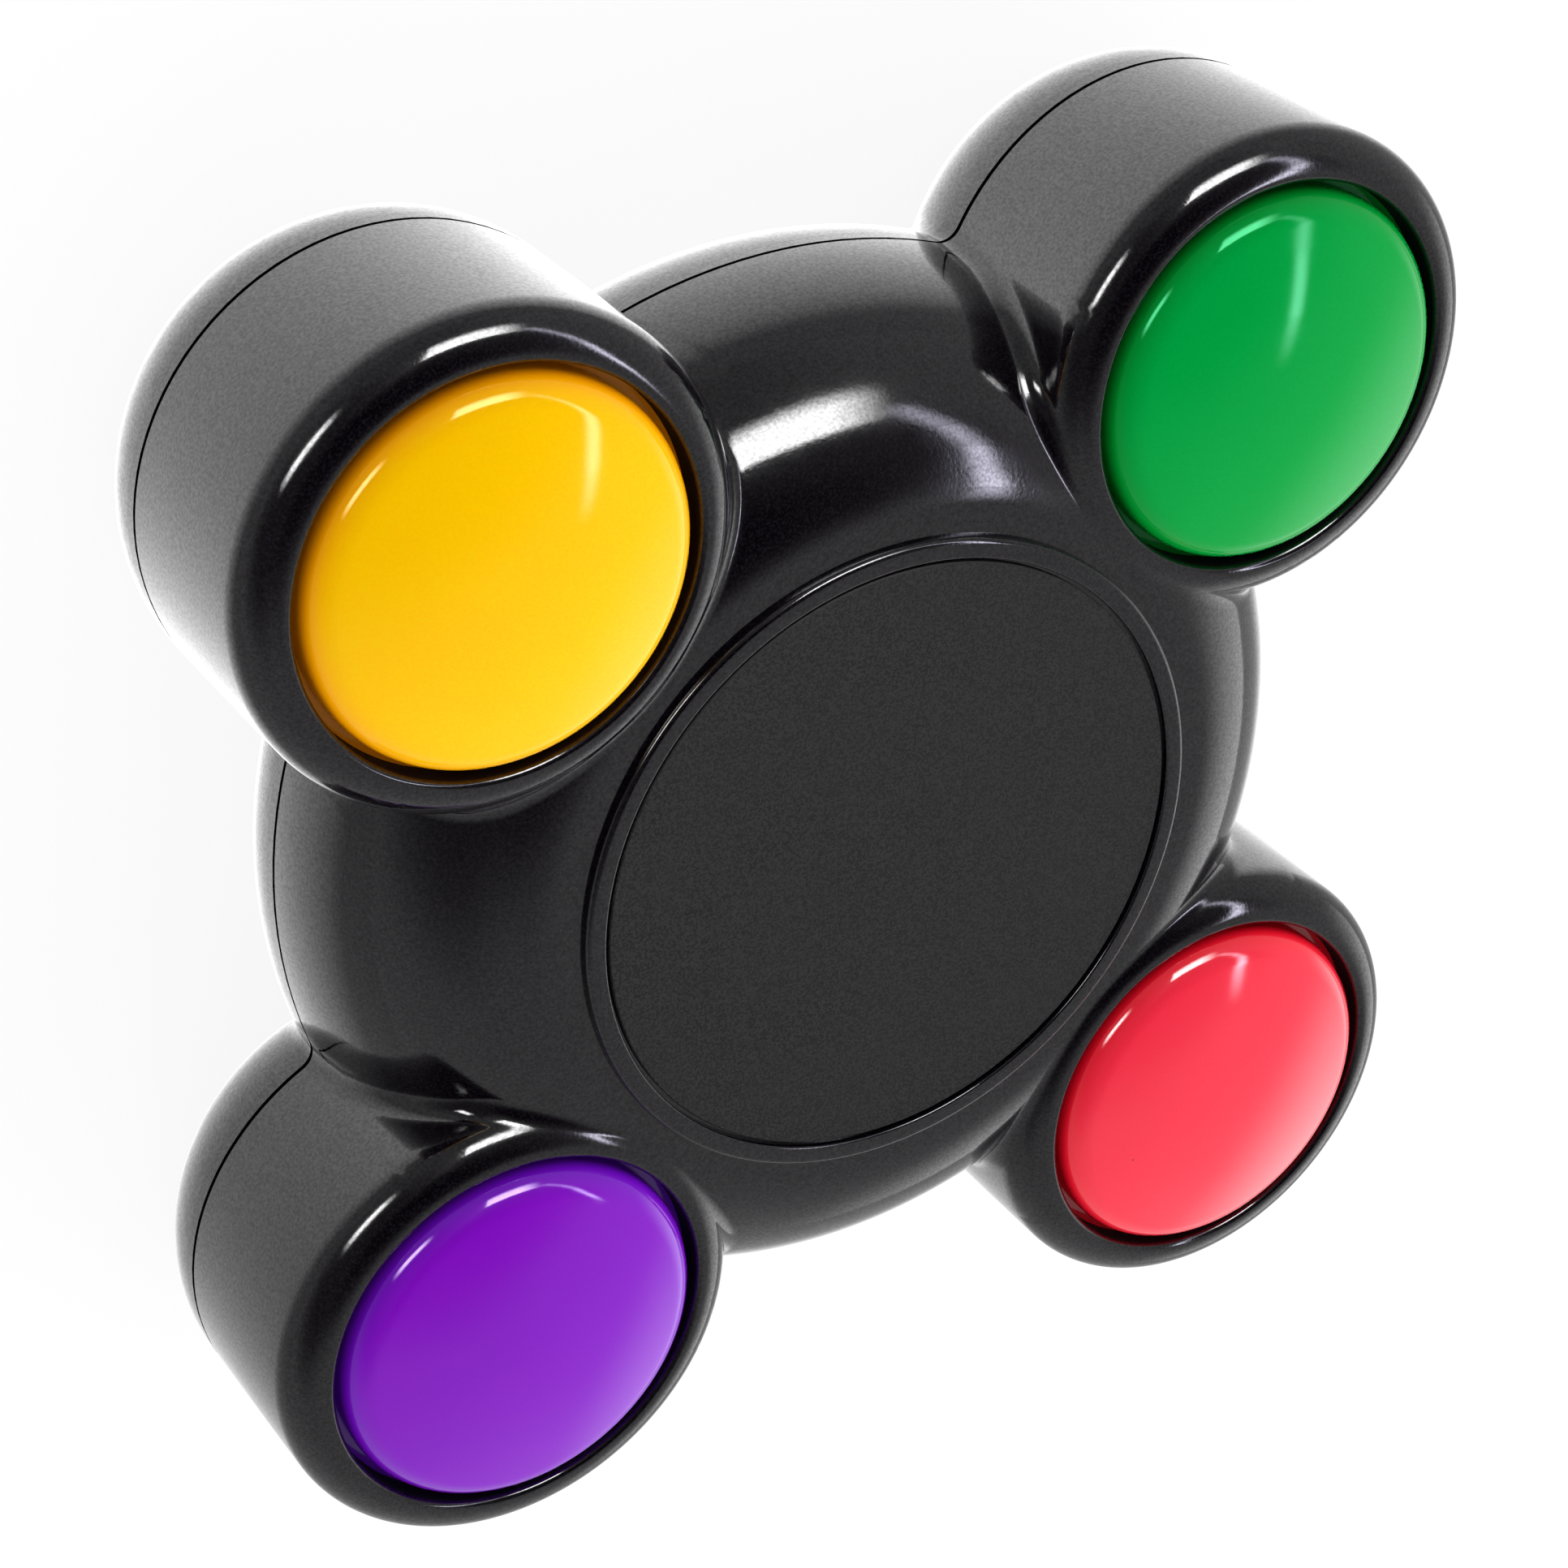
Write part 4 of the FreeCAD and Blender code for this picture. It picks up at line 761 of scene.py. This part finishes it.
def front_octant():
    """Patches of the skin from a pod's axis to halfway between two pods, pod on +X."""
    seam_t = math.degrees(math.asin(SEAM / (LAND - PARTING)))
    last_turn = math.pi * VALLEY_END / 180
    for _ in range(NEWTON_STEPS):
        miss = ball(last_turn, seam_t)[0]
        last_turn -= miss / (2 * PITCH * (POD_R + VALLEY) * math.sin(last_turn))
    turns = [math.pi + (last_turn - math.pi) * i / VALLEY_COLUMNS for i in range(VALLEY_COLUMNS + 1)]
    valley = [valley_column(turn) for turn in turns]
    end = valley[-1]

    disc = []
    ways = [(c["round_game"], c["t"]) for c in valley]
    span = math.pi / 4 - end["round_game"]
    first = min(1.0, abs(end["round_game"] - valley[-2]["round_game"]) * EDGE_COLUMNS / span)
    for i in range(1, EDGE_COLUMNS + 1):
        u = i / EDGE_COLUMNS
        ways.append((end["round_game"] + span * (first * u + (1 - first) * u * u), end["t"]))
    inner = [(RING_OUT, LAND)] + arc(RING_OUT - RING_EDGE, RING_TOP - RING_EDGE, RING_EDGE, 0, 90, 9)
    inner += arc(RING_IN + RING_INNER_EDGE, RING_TOP - RING_INNER_EDGE, RING_INNER_EDGE, 90, 180, 6)
    inner += [(RING_IN, LABEL_SEAT)]
    # A column starts at the valley or at the seam and runs inwards to even spacing. The lower it
    # starts, the faster the shift of its rows fades, so that no row has a kink.
    for number, (way, t) in enumerate(ways):
        even = math.pi / 4 * number / (len(ways) - 1)
        late = (t - seam_t) / (90 - seam_t)
        fade = 1 + 2 * (1 - late) ** 3
        column = []
        for i in range(CROWN_ROWS + 1):
            u = i / CROWN_ROWS
            (r, z), _ = crown(seam_t + (90 - seam_t) * (u + late * (1 - u) ** fade))
            column.append((r, z, even + (way - even) * (1 - u) ** 2))
        column += [(r, z, even) for r, z in inner]
        disc.append([Vector((r * math.cos(a), r * math.sin(a), z)) for r, z, a in column])

    pod = []
    ways = [(c["turn"], c["s"]) for c in valley]
    for i in range(1, POD_COLUMNS + 1):
        ways.append((end["turn"] * (1 - i / POD_COLUMNS), end["s"]))
    wall = RIM - RIM_ROUND - PARTING
    top = wall + RIM_ROUND * math.radians(RIM_END)
    share = (wall - end["s"]) / (top - end["s"])
    mouth = arc(HOLE_R + MOUTH, RIM - MOUTH, MOUTH, MOUTH_START, 180, 8) + [(HOLE_R, SEAT - 1.0)]
    for way, s in ways:
        bend = s + (top - s) * share
        column = [pod_skin(s + (bend - s) * i / WALL_ROWS) for i in range(WALL_ROWS)]
        column += [pod_skin(bend + (top - bend) * i / RIM_ROWS) for i in range(RIM_ROWS + 1)]
        column += mouth
        pod.append([Vector((PITCH + r * math.cos(way), r * math.sin(way), z)) for r, z in column])

    edge = []
    for column in reversed(disc[VALLEY_COLUMNS:]):
        p = column[0]
        edge.append((p, -Vector((p.x, p.y, 0)).normalized()))
    for p in end["points"][1:-1]:
        away = p - end["centre"]
        edge.append((p, Vector((away.x, away.y, 0)).normalized()))
    for column in pod[VALLEY_COLUMNS:]:
        p = column[0]
        edge.append((p, -Vector((p.x - PITCH, p.y, 0)).normalized()))
    groove = [[p, p + inward * SEAM_DEPTH, Vector((p.x, p.y, PARTING)) + inward * SEAM_DEPTH]
              for p, inward in edge]
    return [disc, [c["points"] for c in valley], pod, groove]


def mesh_piece(name, points, faces):
    data = bpy.data.meshes.new(name)
    data.from_pydata(points, [], faces)
    piece = bpy.data.objects.new(name, data)
    bpy.context.scene.collection.objects.link(piece)
    return piece


def eight_ways(patches, name):
    """An octant's patches mirrored and turned to the whole game, welded into one skin."""
    points, faces = [], []
    for quarter in range(4):
        turn = Matrix.Rotation(math.radians(45 + 90 * quarter), 3, "Z")
        for side in (1, -1):
            for patch in patches:
                start = len(points)
                rows = len(patch[0])
                for column in patch:
                    points += [turn @ Vector((p.x, p.y * side, p.z)) * MM for p in column]
                for i in range(len(patch) - 1):
                    for j in range(rows - 1):
                        a = start + i * rows + j
                        faces.append((a, a + 1, a + rows + 1, a + rows))
    piece = mesh_piece(name, points, faces)
    only(piece)
    bpy.ops.object.mode_set(mode="EDIT")
    bpy.ops.mesh.select_all(action="SELECT")
    bpy.ops.mesh.remove_doubles(threshold=WELD)
    bpy.ops.mesh.fill_holes(sides=0)
    bpy.ops.mesh.select_all(action="SELECT")
    bpy.ops.mesh.normals_make_consistent(inside=False)
    bpy.ops.object.mode_set(mode="OBJECT")
    return piece


def front_shell():
    """The skin, hollowed by a room in the disc and a bore in each pod."""
    shell = eight_ways(front_octant(), "front_shell")
    reach, rise = DISC_R - LAND_R - WALL, LAND - PARTING - WALL
    profile = [(0, CUT_FOOT), (LAND_R + reach, CUT_FOOT)]
    for i in range(ROOM_ROWS + 1):
        a = math.radians(90 * i / ROOM_ROWS)
        profile.append((LAND_R + reach * math.cos(a), PARTING + rise * math.sin(a)))
    room = turned("room", profile + [(0, PARTING + rise)], CUT_STEPS)
    apply_modifier(shell, "BOOLEAN", operation="DIFFERENCE", object=room, solver="EXACT")
    bpy.data.objects.remove(room)
    for c in COLOURS:
        a = math.radians(POD_TURNS[c])
        r = POD_R - WALL
        bore = turned("bore", [(0, CUT_FOOT), (r, CUT_FOOT), (r, SEAT), (0, SEAT)], CUT_STEPS,
                      PITCH * math.cos(a), PITCH * math.sin(a))
        apply_modifier(shell, "BOOLEAN", operation="DIFFERENCE", object=bore, solver="EXACT")
        bpy.data.objects.remove(bore)
    only(shell)
    bpy.ops.object.mode_set(mode="EDIT")
    bpy.ops.mesh.select_all(action="SELECT")
    bpy.ops.mesh.remove_doubles(threshold=TINY_WELD)
    bpy.ops.mesh.dissolve_degenerate(threshold=0.1 * TINY_WELD)
    bpy.ops.object.mode_set(mode="OBJECT")
    bpy.ops.object.shade_smooth_by_angle(angle=SMOOTH_ANGLE)
    shell.data.materials.clear()
    shell.data.materials.append(BLACK)
    shell.data.materials.append(DULL_BLACK)
    # Dull inside the pods and low in their mouths
    for face in shell.data.polygons:
        x = abs(face.center.x) / MM - PITCH * math.sqrt(0.5)
        y = abs(face.center.y) / MM - PITCH * math.sqrt(0.5)
        in_bore = math.hypot(x, y) < POD_R - WALL + 0.1 and face.center.z / MM < RIM - 0.8 * MOUTH
        face.material_index = 1 if in_bore else 0
    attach(shell, "housing")
    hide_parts("front_housing")


front_shell()

# Caps
CAP_R = 14.35
CAP_ROUND = 2.7
CAP_ROUND_Z = 28.0
CAP_DOME = 45.0
CAP_WALL = 1.8
CAP_STEPS = 192
SKIRT_R = 15.9
SKIRT_WALL = 1.3
SKIRT_TOP = 26.9
SKIRT_FOOT = 20.7
# How far the underside lies below the skirt's top, at the skirt and inside the dome
SKIRT_LEDGE = 1.9
DOME_LEDGE = 0.3


def cap(colour):
    """A shallow dome with a round shoulder, hollow below, on a wider skirt."""
    lean = math.degrees(math.asin((CAP_R - CAP_ROUND) / (CAP_DOME - CAP_ROUND)))
    dome_z = CAP_ROUND_Z - (CAP_DOME - CAP_ROUND) * math.cos(math.radians(lean))
    inner = math.degrees(math.asin((CAP_R - CAP_WALL) / (CAP_DOME - CAP_WALL)))
    profile = arc(0, dome_z, CAP_DOME, 90, 90 - lean, 24)
    profile += arc(CAP_R - CAP_ROUND, CAP_ROUND_Z, CAP_ROUND, 90 - lean, 0, 18)[1:]
    profile += [(CAP_R, SKIRT_TOP), (SKIRT_R, SKIRT_TOP), (SKIRT_R, SKIRT_FOOT),
                (SKIRT_R - SKIRT_WALL, SKIRT_FOOT), (SKIRT_R - SKIRT_WALL, SKIRT_TOP - SKIRT_LEDGE),
                (CAP_R - CAP_WALL, SKIRT_TOP - DOME_LEDGE)]
    profile += arc(0, dome_z, CAP_DOME - CAP_WALL, 90 - inner, 90, 10)
    a = math.radians(POD_TURNS[colour])
    piece = turned("cap_" + colour + "_lit", profile, CAP_STEPS, PITCH * math.cos(a), PITCH * math.sin(a))
    only(piece)
    bpy.ops.object.shade_smooth_by_angle(angle=SMOOTH_ANGLE)
    piece.data.materials.append(CAPS[colour])
    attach(piece, "cap_" + colour)
    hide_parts("button_cap_" + colour)


for colour in COLOURS:
    cap(colour)

# Cap springs
COIL_R = 9.9
COIL_WIRE_R = 0.35
COIL_TURNS = 5
COIL_STEPS = 48
COIL_FOOT = 18.65
COIL_TOP = 29.25


def cap_spring(colour):
    """Coil under a cap, from the board up."""
    a = math.radians(POD_TURNS[colour])
    foot = Vector((PITCH * math.cos(a), PITCH * math.sin(a), COIL_FOOT)) * MM
    deselect()
    place = (COIL_R * MM, 0, COIL_WIRE_R * MM)
    bpy.ops.mesh.primitive_circle_add(vertices=12, radius=COIL_WIRE_R * MM, location=place,
                                      rotation=(math.pi / 2, 0, 0))
    piece = bpy.context.object
    piece.name = "cap_spring_" + colour + "_coil"
    bpy.ops.object.transform_apply(location=True, rotation=True, scale=False)
    height = COIL_TOP - COIL_FOOT
    rise = (height - 2 * COIL_WIRE_R) / COIL_TURNS
    apply_modifier(piece, "SCREW", axis="Z", angle=2 * math.pi, screw_offset=rise * MM,
                   iterations=COIL_TURNS, steps=COIL_STEPS, render_steps=COIL_STEPS)
    piece.data.transform(Matrix.Translation(foot))
    bpy.ops.object.mode_set(mode="EDIT")
    bpy.ops.mesh.select_all(action="SELECT")
    bpy.ops.mesh.fill_holes(sides=0)
    bpy.ops.mesh.select_all(action="SELECT")
    bpy.ops.mesh.normals_make_consistent(inside=False)
    bpy.ops.object.mode_set(mode="OBJECT")
    bpy.ops.object.shade_smooth_by_angle(angle=SMOOTH_ANGLE)
    piece.data.materials.append(WIRE)
    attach(piece, "housing")
    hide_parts("cap_spring_" + colour)
    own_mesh(piece)


for colour in COLOURS:
    cap_spring(colour)
